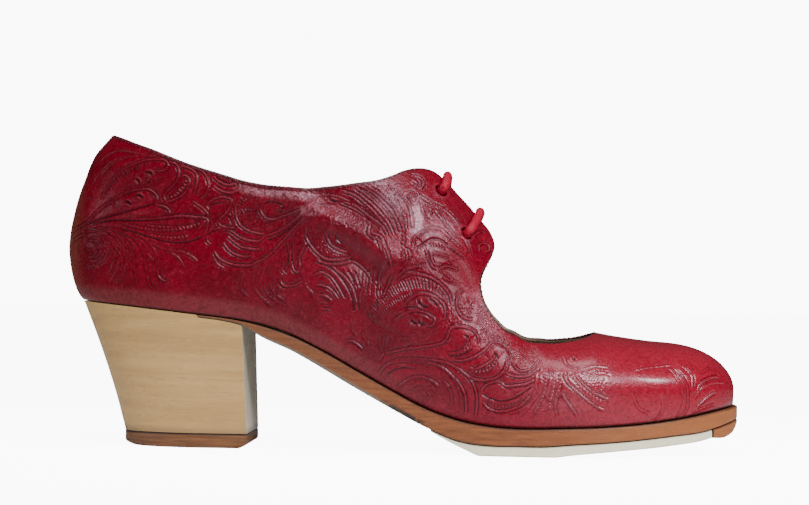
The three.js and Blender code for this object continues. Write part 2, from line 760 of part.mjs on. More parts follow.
function heelRing(level, hollow, bottomZ, topZ, margin = 0) {
  const places = heelOutline();
  const ring = lineRing(places, () => HEEL_SEAT_EDGE + margin, topZ);
  const front = HEEL_BREAST + HEEL_BREAST_LEAN * (1 - level);
  const backX = ring[places.length - 1].x;
  const topLength = HEEL_BREAST - backX;
  const topWidth = ring[ring.length - 1].y - ring[0].y;
  const lengthShare = THREE.MathUtils.lerp(HEEL_BASE_LENGTH / topLength, 1, level);
  const widthShare = THREE.MathUtils.lerp(HEEL_BASE_WIDTH / topWidth, 1, level);
  const dent = hollow * HEEL_BACK_HOLLOW;
  return ring.map((point) => {
    const share = (HEEL_BREAST - point.x) / topLength;
    return new THREE.Vector3(
      front - share * (topLength * lengthShare - dent),
      point.y * widthShare,
      bottomZ + (point.z - bottomZ) * level,
    );
  }).reverse();
}

function heelBlock() {
  const rings = HEEL_RINGS.map(({ level, hollow }) => heelRing(level, hollow, HEEL_BASE_Z, outsoleTop));
  const block = toManifold(stackRings(rings));
  return toGeometry(block.subtract(toManifold(outsole(FIT_GAP))));
}

// Top piece of the heel, with its walking edge worn round at the back and the front
function heelLift() {
  const upper = heelRing(0, 0, 0, () => 0, LIFT_EDGE);
  const placesX = upper.map((point) => point.x);
  const middleX = (Math.min(...placesX) + Math.max(...placesX)) / 2;
  const halfLength = Math.max(...upper.map((point) => Math.abs(point.x - middleX)));
  const level = (z) => upper.map((point) => new THREE.Vector3(point.x, point.y, z));
  const worn = (rise) => upper.map((point) => {
    const end = Math.abs(point.x - middleX) / halfLength;
    const share = THREE.MathUtils.lerp(LIFT_WEAR_LEAST, 1, end ** LIFT_WEAR_ROUND);
    return new THREE.Vector3(point.x, point.y, rise * share);
  });
  const tread = upper.map((point) => {
    const end = (point.x - middleX) / halfLength;
    return new THREE.Vector3(
      point.x - end * Math.abs(end) * LIFT_BEVEL * LIFT_END_TUCK,
      point.y * (1 - LIFT_BEVEL / HEEL_BASE_WIDTH * LIFT_SIDE_TUCK),
      0,
    );
  });
  return stackRings([tread, worn(LIFT_BEVEL), level(LIFT_THICKNESS)]);
}

// Lace: one cord through the four holes, as a smooth line of points
function lacePoints() {
  const radius = LACE_DIAMETER / 2;
  const clear = radius + FIT_GAP;
  const hole = (side, eyelet, depth) => (
    surfaceAt(side, eyelet.along, eyelet.height)
      .addScaledVector(surfaceNormal(side, eyelet.along, eyelet.height), depth)
  );
  const inside = -(UPPER_WALL + clear);
  const [high, low] = EYELETS;
  const bar = (eyelet, crossing) => {
    const near = edgeOver(OUTER, crossing.along);
    const far = edgeOver(INNER, crossing.along);
    const peak = Math.max(near.z, far.z) + clear + LACE_LIFT;
    const over = (edge) => new THREE.Vector3(edge.x, edge.y, peak - LACE_SAG);
    const middle = new THREE.Vector3(near.x, (near.y + far.y) / 2, peak);
    return [hole(OUTER, eyelet, clear), over(near), middle, over(far), hole(INNER, eyelet, clear)];
  };
  const run = (side, from, to, share) => hole(side, from, inside).lerp(hole(side, to, inside), share);
  const lowBar = bar(low, LACE_CROSSINGS[1]);
  const highBar = bar(high, LACE_CROSSINGS[0]);
  return [
    ...LACE_START.map((share) => run(OUTER, low, high, share)),
    hole(OUTER, low, -UPPER_WALL),
    ...lowBar,
    hole(INNER, low, -UPPER_WALL),
    ...LACE_LINK.map((share) => run(INNER, low, high, share)),
    hole(INNER, high, -UPPER_WALL),
    ...highBar.reverse(),
    hole(OUTER, high, -UPPER_WALL),
    hole(OUTER, high, inside),
  ];
}

// Place on the top edge in front of the eyelets, found by its distance along the shoe
function edgeOver(side, along) {
  const keys = edgeKeys(side);
  let best = null;
  for (let step = 0; step <= EDGE_SEARCH; step += 1) {
    const place = EDGE_SEARCH_FROM + (EDGE_SEARCH_TO - EDGE_SEARCH_FROM) * step / EDGE_SEARCH;
    const row = edgeRow(keys, place);
    const miss = Math.abs(row.head - along);
    if (best === null || miss < best.miss) best = { miss, row };
  }
  return surfacePoint(side, best.row, 1);
}

function cord(points, radius) {
  const section = new THREE.Shape();
  for (let corner = 0; corner < LACE_SIDES; corner += 1) {
    const turn = corner * 2 * Math.PI / LACE_SIDES;
    const [x, y] = [radius * Math.cos(turn), radius * Math.sin(turn)];
    if (corner === 0) section.moveTo(x, y);
    else section.lineTo(x, y);
  }
  section.closePath();
  const path = new THREE.CatmullRomCurve3(points, false, 'centripetal');
  const tube = new THREE.ExtrudeGeometry(section, { steps: LACE_STEPS, extrudePath: path });
  tube.deleteAttribute('normal');
  tube.deleteAttribute('uv');
  return dropThinFaces(mergeVertices(tube, MERGE_GAP));
}

// Hole punched square through the wall at an eyelet
function punch(side, eyelet) {
  const centre = surfaceAt(side, eyelet.along, eyelet.height);
  const normal = surfaceNormal(side, eyelet.along, eyelet.height);
  const tool = new THREE.CylinderGeometry(LACE_HOLE / 2, LACE_HOLE / 2, PUNCH_DEPTH, PUNCH_SIDES);
  tool.applyQuaternion(new THREE.Quaternion().setFromUnitVectors(new THREE.Vector3(0, 1, 0), normal));
  tool.translate(centre.x, centre.y, centre.z);
  return toManifold(tool);
}

function upper(route) {
  let shell = toManifold(upperShell());
  for (const side of [OUTER, INNER]) {
    for (const eyelet of EYELETS) {
      shell = shell.subtract(punch(side, eyelet));
    }
  }
  return toGeometry(shell.subtract(toManifold(cord(route, LACE_DIAMETER / 2 + FIT_GAP))));
}

const parts = new THREE.Group();

function addPart(name, geometry, finish) {
  const shown = geometry.toNonIndexed();
  shown.computeVertexNormals();
  const material = new THREE.MeshStandardMaterial({
    color: finish.colour,
    roughness: finish.roughness,
    metalness: 0,
  });
  const mesh = new THREE.Mesh(shown, material);
  mesh.name = name;
  parts.add(mesh);
}

const laceRoute = lacePoints();

addPart('upper', upper(laceRoute), RED_LEATHER);
addPart('outsole', outsole(), SOLE_LEATHER);
addPart('half_sole', halfSole(), CREAM_RUBBER);
addPart('toe_piece', toePiece(), TOE_LEATHER);
addPart('insole', insole(), LINING_LEATHER);
addPart('heel', heelBlock(), HEEL_WOOD);
addPart('heel_lift', heelLift(), LIFT_LEATHER);
addPart('lace', cord(laceRoute, LACE_DIAMETER / 2), RED_CORD);

// The part stands with the centre of its box over the origin
const box = new THREE.Box3().setFromObject(parts);
const centre = box.getCenter(new THREE.Vector3());
parts.position.set(-centre.x, -centre.y, 0);

export default parts;
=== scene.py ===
import math

import bpy
import numpy as np
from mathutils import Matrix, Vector


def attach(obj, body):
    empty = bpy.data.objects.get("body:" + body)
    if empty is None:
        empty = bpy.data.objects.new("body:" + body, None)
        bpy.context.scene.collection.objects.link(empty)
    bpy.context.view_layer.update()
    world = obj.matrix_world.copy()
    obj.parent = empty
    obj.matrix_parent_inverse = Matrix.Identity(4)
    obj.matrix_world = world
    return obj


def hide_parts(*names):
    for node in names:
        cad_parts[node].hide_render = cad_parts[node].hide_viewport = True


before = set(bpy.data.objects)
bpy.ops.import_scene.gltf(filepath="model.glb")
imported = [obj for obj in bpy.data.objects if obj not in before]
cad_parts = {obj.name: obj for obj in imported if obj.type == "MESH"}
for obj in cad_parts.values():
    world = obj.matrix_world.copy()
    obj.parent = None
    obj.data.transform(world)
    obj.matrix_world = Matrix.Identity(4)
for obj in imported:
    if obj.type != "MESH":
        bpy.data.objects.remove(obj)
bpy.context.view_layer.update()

# Sizes of the shoe in millimetres, as in the part's source
SHOE_LENGTH = 254.2
BALL_WIDTH = 84.0
INSTEP_HEIGHT = 91.0
SEAT_HEIGHT = 54.6
TOE_SPRING = 8.2
FIT_GAP = 0.3
UPPER_WALL = 1.8
INSOLE_THICKNESS = 2.4
OUTSOLE_THICKNESS = 6.0
OUTSOLE_EDGE = 2.6
HALF_SOLE_THICKNESS = 3.7
HALF_SOLE_INSET = 0.5
TOE_PIECE_THICKNESS = 3.6
LIFT_THICKNESS = 5.2
LIFT_BEVEL = 2.0
HEEL_BREAST = 69.4
HEEL_BREAST_LEAN = 2.0
HEEL_BASE_LENGTH = 48.6
HEEL_BASE_WIDTH = 43.0
HEEL_BACK_HOLLOW = 1.0
HEEL_SEAT_EDGE = 0.3
LIFT_EDGE = 0.3
LACE_DIAMETER = 3.4
LACE_HOLE = 4.4
LACE_LIFT = 0.4
LACE_SAG = 0.8
OUTER, INNER = -1, 1
BALL_LINE = HALF_SOLE_THICKNESS + OUTSOLE_THICKNESS + 2 * FIT_GAP

# From the last's own frame, which starts at the back of the heel, to the frame of the part
ROW_SHIFT = np.array([-127.792, 0.383, 0.0])
MM = 0.001

SOLE_LINE = [
    ("along", "seat", "toe"),
    (0.0, 1.0, 0), (0.13, 0.937, 0), (0.212, 0.892, 0), (0.262, 0.858, 0), (0.3, 0.813, 0),
    (0.349, 0.722, 0), (0.397, 0.592, 0), (0.445, 0.442, 0), (0.494, 0.291, 0), (0.543, 0.152, 0),
    (0.591, 0.06, 0), (0.638, 0.013, 0), (0.678, 0, 0), (0.74, 0, 0.04), (0.82, 0, 0.159),
    (0.893, 0, 0.4), (0.932, 0, 0.598), (0.967, 0, 0.81), (1.0, 0, 1.0),
]

LAST = [
    ("along", "spine", "line_out", "line_in", "girth_out", "girth_in"),
    (0.0, 0, 0.31, 0.31, 0.346, 0.346),
    (0.113, 0, 0.31, 0.31, 0.346, 0.346),
    (0.192, 0, 0.312, 0.31, 0.348, 0.345),
    (0.271, -0.006, 0.306, 0.29, 0.346, 0.344),
    (0.349, -0.018, 0.303, 0.256, 0.349, 0.343),
    (0.428, -0.03, 0.318, 0.238, 0.364, 0.351),
    (0.507, -0.03, 0.362, 0.262, 0.402, 0.381),
    (0.585, -0.018, 0.424, 0.345, 0.456, 0.424),
    (0.644, -0.006, 0.464, 0.416, 0.49, 0.461),
    (0.715, 0.002, 0.487, 0.463, 0.507, 0.49),
    (0.762, 0.006, 0.486, 0.472, 0.504, 0.496),
    (0.821, 0.014, 0.471, 0.461, 0.487, 0.479),
    (0.888, 0.026, 0.452, 0.436, 0.466, 0.451),
    (0.947, 0.036, 0.428, 0.412, 0.44, 0.424),
    (1.0, 0.042, 0.402, 0.392, 0.412, 0.402),
]

CONE = [
    ("along", "bulge", "ridge", "round"),
    (0.0, 0.222, 0.88, 2), (0.113, 0.25, 0.92, 2), (0.192, 0.265, 0.98, 2), (0.271, 0.255, 1.08, 2),
    (0.349, 0.25, 1.17, 2), (0.428, 0.26, 1.14, 1.95), (0.507, 0.268, 1.052, 1.87),
    (0.542, 0.264, 1.022, 1.78), (0.585, 0.25, 0.955, 1.64), (0.615, 0.234, 0.887, 1.48),
    (0.644, 0.215, 0.795, 1.36), (0.662, 0.203, 0.63, 1.44), (0.68, 0.191, 0.49, 1.62),
    (0.715, 0.17, 0.398, 1.95), (0.75, 0.152, 0.373, 2.05), (0.792, 0.137, 0.371, 2.1),
    (0.821, 0.13, 0.353, 2.1), (0.888, 0.108, 0.312, 2.05), (0.947, 0.086, 0.283, 2),
    (1.0, 0.06, 0.25, 2),
]

HEEL_CENTRE = 0.192
TOE_CENTRE = 0.743
CAP_CENTRE = 0.888
HEEL_ROUND = 2.2
TOE_ROUND = 2.3
CAP_ROUND = 2.0
TUCK_ROUND = 1.7
HEEL_TUCK = 0.0252 * SHOE_LENGTH
TOE_TUCK = 0.0012 * SHOE_LENGTH

BACK_LEAN = [
    ("height", "lean"),
    (0.0, 0), (0.222, 0), (0.29, 0.0022), (0.355, 0.0067), (0.437, 0.0142), (0.509, 0.0232),
    (0.565, 0.0303), (0.611, 0.0385), (0.653, 0.0507), (0.7, 0.066),
]

COLLAR = [
    ("along", "height"),
    (0.0, 0.697), (0.028, 0.688), (0.072, 0.671), (0.118, 0.652), (0.178, 0.62), (0.225, 0.594),
]

# Top edge from the side of the heel to the throat: by height over the sole line, then by gap
EDGE_BY_HEIGHT = [
    ("foot", "head", "height"),
    (0.178, 0.178, 0.62), (0.225, 0.225, 0.594), (0.27, 0.27, 0.574), (0.314, 0.314, 0.582),
    (0.357, 0.358, 0.618), (0.391, 0.393, 0.671), (0.421, 0.428, 0.737), (0.448, 0.463, 0.806),
    (0.469, 0.488, 0.866), (0.482, 0.507, 0.918), (0.494, 0.5245, 0.955), (0.505, 0.542, 0.974),
    (0.515, 0.555, 0.972), (0.526, 0.5705, 0.948), (0.537, 0.5865, 0.914), (0.55, 0.607, 0.866),
    (0.562, 0.6235, 0.82), (0.573, 0.636, 0.778), (0.583, 0.6415, 0.733), (0.59, 0.638, 0.693),
    (0.597, 0.6305, 0.655), (0.605, 0.623, 0.617), (0.613, 0.6202, 0.577), (0.622, 0.6225, 0.528),
    (0.632, 0.6295, 0.48), (0.646, 0.6435, 0.43), (0.662, 0.661, 0.388), (0.682, 0.682, 0.36),
    (0.714, 0.714, 0.342),
]
EDGE_BY_GAP = [
    ("foot", "head", "gap"),
    (0.748, 0.748, 0.266), (0.774, 0.774, 0.2), (0.787, 0.787, 0.112), (0.792, 0.792, 0),
]
INNER_EDGE_LIFT = 0.008
INNER_GAP = 0.88
INNER_LIFT_CENTRE = 0.715
INNER_LIFT_REACH = 0.06
FAN_START = 0.86
FAN_HEAD = 0.965
QUARTER_TURN = math.pi / 2
TINY = 1e-12


def unit(vectors):
    """The vectors at length one, with empty ones left empty."""
    return vectors / np.maximum(np.linalg.norm(vectors, axis=-1, keepdims=True), TINY)


def curve(table, column):
    """Smooth curve through one column of a table, read over its first column."""
    rows = np.array(table[1:], float)
    keys, values = rows[:, 0], rows[:, table[0].index(column)]
    gaps = np.diff(keys)
    slopes = np.diff(values) / gaps
    bends = np.empty(len(keys))
    bends[0], bends[-1] = slopes[0], slopes[-1]
    bends[1:-1] = (slopes[:-1] * gaps[1:] + slopes[1:] * gaps[:-1]) / (gaps[:-1] + gaps[1:])

    def read(at):
        place = np.clip(at, keys[0], keys[-1])
        low = np.clip(np.searchsorted(keys, place) - 1, 0, len(gaps) - 1)
        t = (place - keys[low]) / gaps[low]
        ease = t * t * (3 - 2 * t)
        bend = bends[low] * t * (1 - t) ** 2 - bends[low + 1] * t * t * (1 - t)
        return values[low] + (values[low + 1] - values[low]) * ease + gaps[low] * bend

    return read


seat_curve, toe_curve = curve(SOLE_LINE, "seat"), curve(SOLE_LINE, "toe")
spine_curve = curve(LAST, "spine")
width_curves = {(level, side): curve(LAST, level + ("_out" if side == OUTER else "_in"))
                for level in ("line", "girth") for side in (OUTER, INNER)}
bulge_curve = curve(CONE, "bulge")
ridge_curve = curve(CONE, "ridge")
round_curve = curve(CONE, "round")
lean_curve = curve(BACK_LEAN, "lean")
collar_curve = curve(COLLAR, "height")


def sole_line(along):
    """Height of the last's lower edge."""
    return BALL_LINE + seat_curve(along) * (SEAT_HEIGHT - BALL_LINE) + toe_curve(along) * TOE_SPRING


def closing(share, power):
    """Falls from 1 to 0 as the share grows to 1, rounder with a higher power."""
    return np.maximum(0, 1 - np.clip(share, 0, 1) ** power) ** (1 / power)


def heel_share(along):
    return np.maximum(0, (HEEL_CENTRE - along) / HEEL_CENTRE)


def toe_share(along):
    return np.maximum(0, (along - TOE_CENTRE) / (1 - TOE_CENTRE))


def half_width(side, along, level, margin=0.0):
    """Width of one side, closed round at the heel and the toe."""
    ends = closing(heel_share(along), HEEL_ROUND) * closing(toe_share(along), TOE_ROUND)
    return (width_curves[level, side](along) * BALL_WIDTH + margin) * ends


def plan_point(side, along, width, back_shift, tip_shift):
    """Place in the plan, its ends shifted along the shoe."""
    x = along * SHOE_LENGTH + back_shift * heel_share(along) + tip_shift * toe_share(along)
    return x, spine_curve(along) * BALL_WIDTH + side * width


def line_point(side, along, margin):
    """Place in the plan a margin outside the last's lower edge."""
    width = half_width(side, along, "line", margin)
    return plan_point(side, along, width, HEEL_TUCK - margin, margin - TOE_TUCK)


def bulge_z(along):
    """Height of the last's widest line."""
    return sole_line(along) + bulge_curve(along) * INSTEP_HEIGHT


def ridge_rise(along):
    """Rise of the last's ridge over its widest line."""
    cap = np.maximum(0, (along - CAP_CENTRE) / (1 - CAP_CENTRE))
    return (ridge_curve(along) - bulge_curve(along)) * INSTEP_HEIGHT * closing(cap, CAP_ROUND)


def reach_of_height(along, height):
    """Share of the half width that is left at a height."""
    share = (height - bulge_curve(along)) * INSTEP_HEIGHT / ridge_rise(along)
    return closing(share, round_curve(along))


def spread(side, foot, along):
    """Half width at a row's foot over the one at another place."""
    return half_width(side, foot, "girth") / np.maximum(half_width(side, along, "girth"), 1e-6)


def sweep_to(side, foot, head, reach):
    """Angle at which a row comes to its head."""
    share = np.minimum(1, reach / np.where(foot == head, 1, spread(side, foot, head)))
    return np.arccos(share ** (round_curve(head) / 2))


def surface(side, foot, head, sweep, rise):
    """Points of the outer surface: rise is -1 at the sole line, 0 at the girth, 1 at the row's head."""
    foot, head, sweep, rise = np.broadcast_arrays(foot, head, sweep, rise)
    turn = np.clip(1 + rise, 0, 1) * QUARTER_TURN
    out = np.sin(turn) ** (2 / TUCK_ROUND)
    up = 1 - np.maximum(0, np.cos(turn)) ** (2 / TUCK_ROUND)
    low = line_point(side, foot, 0)
    high = plan_point(side, foot, half_width(side, foot, "girth"), 0, 0)
    low_z = sole_line(foot) + (bulge_z(foot) - sole_line(foot)) * up
    low_x, low_y = (start + (end - start) * out for start, end in zip(low, high))
    tucked = np.stack([low_x, low_y, low_z], -1)
    climb = np.clip(rise, 0, 1)
    along = foot + (head - foot) * (1 - np.cos(climb * QUARTER_TURN))
    power = round_curve(along)
    inward = np.maximum(0, np.cos(climb * sweep)) ** (2 / power)
    reach = np.minimum(1, inward * np.where(foot == along, 1, spread(side, foot, along)))
    z = bulge_z(along) + ridge_rise(along) * closing(reach, power)
    lean = lean_curve((z - sole_line(along)) / INSTEP_HEIGHT) * SHOE_LENGTH
    x, y = plan_point(side, along, reach * half_width(side, along, "girth"), lean, 0)
    raised = np.stack([x, y, z], -1)
    return np.where((rise <= 0)[..., None], tucked, raised)


def edge_keys(side):
    """Rows of the top edge, each with its foot, head and sweep."""
    rows = []
    for foot, head, height in EDGE_BY_HEIGHT[1:]:
        offset = (head - INNER_LIFT_CENTRE) / INNER_LIFT_REACH
        lift = INNER_EDGE_LIFT * math.exp(-offset * offset) if side == INNER else 0
        rows.append((foot, head, reach_of_height(head, height + lift)))
    for foot, head, gap in EDGE_BY_GAP[1:]:
        share = INNER_GAP if side == INNER else 1
        reach = gap * share * BALL_WIDTH / half_width(side, head, "girth")
        rows.append((foot, head, min(1, reach)))
    return [("index", "foot", "head", "sweep")] + [
        (index, foot, head, float(sweep_to(side, foot, head, reach)))
        for index, (foot, head, reach) in enumerate(rows)]


def edge_values(keys, index):
    """Foot, head and sweep of the rows of the top edge at places between its keys."""
    return [curve(keys, name)(index) for name in ("foot", "head", "sweep")]


# Places where the fan of rows at the toe, the closed vamp and the top edge end
FAN_SHARE, VAMP_SHARE, EDGE_SHARE = 1.0, 2.0, 3.0


def row_values(side, place):
    """Foot, head and sweep of the rows at places from 0, the toe's middle, to 4, the heel's back."""
    keys = edge_keys(side)
    last_key = keys[-1][0]
    throat = keys[-1][2]
    foot, head, sweep = (np.zeros(len(place)) for _ in range(3))
    fan = place <= FAN_SHARE
    turn = 1 - place[fan]
    foot[fan] = FAN_START + (1 - FAN_START) * np.sin(turn * QUARTER_TURN)
    head[fan] = FAN_START + (FAN_HEAD - FAN_START) * turn
    sweep[fan] = QUARTER_TURN
    vamp = (place > FAN_SHARE) & (place <= VAMP_SHARE)
    foot[vamp] = head[vamp] = FAN_START + (throat - FAN_START) * (place[vamp] - FAN_SHARE)
    sweep[vamp] = QUARTER_TURN
    edge = (place > VAMP_SHARE) & (place <= EDGE_SHARE)
    index = last_key * (1 - (place[edge] - VAMP_SHARE))
    foot[edge], head[edge], sweep[edge] = edge_values(keys, index)
    heel = place > EDGE_SHARE
    along = keys[1][2] * (1 - np.sin((place[heel] - EDGE_SHARE) * QUARTER_TURN))
    foot[heel] = head[heel] = along
    sweep[heel] = sweep_to(side, along, along, reach_of_height(along, collar_curve(along)))
    return foot, head, sweep


# Grid of the leather: rows of one side and levels up a row, then the finer ones that space them
SIDE_ROWS = 860
LEVELS = 228
DENSE_ROWS = 6000
DENSE_LEVELS = 240
SPACING_RISES = (-0.7, 0.0, 0.5, 0.85, 1.0)

# Height of the roll over the top edge, and the level whose normals guide the ones above it
RIM_ROLL = 0.8
GUIDE_LEVEL = 200


def even_places(side):
    """Places of the rows, set so that neighbours stand equally far apart at their widest."""
    place = np.linspace(0, 4, DENSE_ROWS)
    foot, head, sweep = row_values(side, place)
    lines = [surface(side, foot, head, sweep, rise) for rise in SPACING_RISES]
    steps = np.max([np.linalg.norm(np.diff(line, axis=0), axis=1) for line in lines], axis=0)
    length = np.concatenate([[0], np.cumsum(steps)])
    return np.interp(np.linspace(0, length[-1], SIDE_ROWS + 1), length, place)


def side_grid(side, places):
    """Points of one side, rows by levels, with the levels evenly spaced along each row."""
    foot, head, sweep = row_values(side, places)
    tucked_rises, raised_rises = np.linspace(-1, 0, DENSE_LEVELS // 3), np.linspace(0, 1, DENSE_LEVELS)
    rises = np.concatenate([tucked_rises, raised_rises[1:]])
    dense = surface(side, foot[:, None], head[:, None], sweep[:, None], rises[None, :])
    steps = np.linalg.norm(np.diff(dense, axis=1), axis=2)
    length = np.concatenate([np.zeros((len(places), 1)), np.cumsum(steps, axis=1)], axis=1)
    closed = places <= VAMP_SHARE
    grid = np.empty((len(places), LEVELS, 3))
    heads = dense[:, -1]
    reach = np.empty(len(places))
    for row in range(len(places)):
        reach[row] = length[row, -1] - (0 if closed[row] else RIM_ROLL)
        wanted = np.linspace(0, reach[row], LEVELS)
        rise = np.interp(wanted, length[row], rises)
        grid[row] = surface(side, foot[row], head[row], sweep[row], rise)
    return grid, reach, heads


def whole_ring(outer, inner):
    """Values of the outer rows from the toe to the heel, then of the inner ones back to the toe."""
    return np.concatenate([outer, inner[-2::-1]])


def grid_normals(grid):
    """Outward normals of the whole ring of rows, whose last row repeats the first."""
    around = np.empty_like(grid)
    around[1:-1] = grid[2:] - grid[:-2]
    around[0] = around[-1] = grid[1] - grid[-2]
    upward = np.gradient(grid, axis=1)
    normals = unit(np.cross(upward, around))
    guide = normals[:, [GUIDE_LEVEL]]
    inward = (normals * guide).sum(axis=2) < 0
    inward[:, :GUIDE_LEVEL] = False
    normals[inward] *= -1
    top = normals[:, -1]
    top[closed_rows] = top[closed_rows] + top[::-1][closed_rows]
    normals[:, -1] = unit(top)
    return normals


places = even_places(OUTER)
outer_side, outer_reach, outer_heads = side_grid(OUTER, places)
inner_side, inner_reach, inner_heads = side_grid(INNER, places)
leather_grid = whole_ring(outer_side, inner_side)
row_reach = whole_ring(outer_reach, inner_reach)
row_heads = whole_ring(outer_heads, inner_heads)
row_rolls = row_heads - leather_grid[:, -1]
closed_rows = whole_ring(places, places) <= VAMP_SHARE
edge_way = unit(np.gradient(row_heads, axis=0))
row_rolls -= edge_way * (row_rolls * edge_way).sum(axis=1, keepdims=True)
base_normals = grid_normals(leather_grid)

# Distance of each outer row from the middle of the heel's back, along the girth
girth_line = surface(OUTER, *row_values(OUTER, places), 0.0)
row_distance = np.linalg.norm(np.diff(girth_line, axis=0), axis=1)[::-1].cumsum()[::-1]
row_distance = np.append(row_distance, 0.0)

EYELETS = [("along", "height"), (0.5606, 0.902), (0.599, 0.758)]
LACE_CROSSINGS = [0.568, 0.617]
NORMAL_STEP = 0.004


def surface_at(side, along, height):
    """Point of the outer surface at a share of the length and of the height."""
    sweep = sweep_to(side, along, along, reach_of_height(along, height))
    return surface(side, along, along, sweep, 1.0)


def surface_normal(side, along, height):
    ahead, behind = (surface_at(side, along + step, height) for step in (NORMAL_STEP, -NORMAL_STEP))
    above, below = (surface_at(side, along, height + step) for step in (NORMAL_STEP, -NORMAL_STEP))
    return -side * unit(np.cross(ahead - behind, above - below))


# Soft folds of the worn leather: path as distance from the back seam and height up the leather,
# then how far it stands out and how wide it is
FOLDS = [
    (1.5, 4.5, [(94.1, 51.5), (103.0, 51.1), (113.2, 50.2), (123.1, 49.2), (131.5, 48.6), (140.8, 47.8),
                (145.5, 46.0)]),
    (-2.0, 5.5, [(117.1, 44.9), (125.3, 43.3), (132.3, 41.3), (137.7, 37.4), (138.8, 30.3)]),
    (-0.9, 5.0, [(106.9, 55.2), (119.0, 56.5), (128.2, 57.2), (138.4, 57.8)]),
    (0.9, 6.0, [(145.2, 38.9), (143.8, 30.8), (140.5, 21.9)]),
    (-0.8, 6.0, [(163.4, 56.5), (167.0, 50.7), (167.8, 42.8)]),
    (-0.7, 8.0, [(80.0, 7.3), (95.1, 6.4), (111.3, 5.7)]),
    (-0.6, 6.0, [(234.9, 32.0), (246.7, 25.7), (260.5, 20.3)]),
]

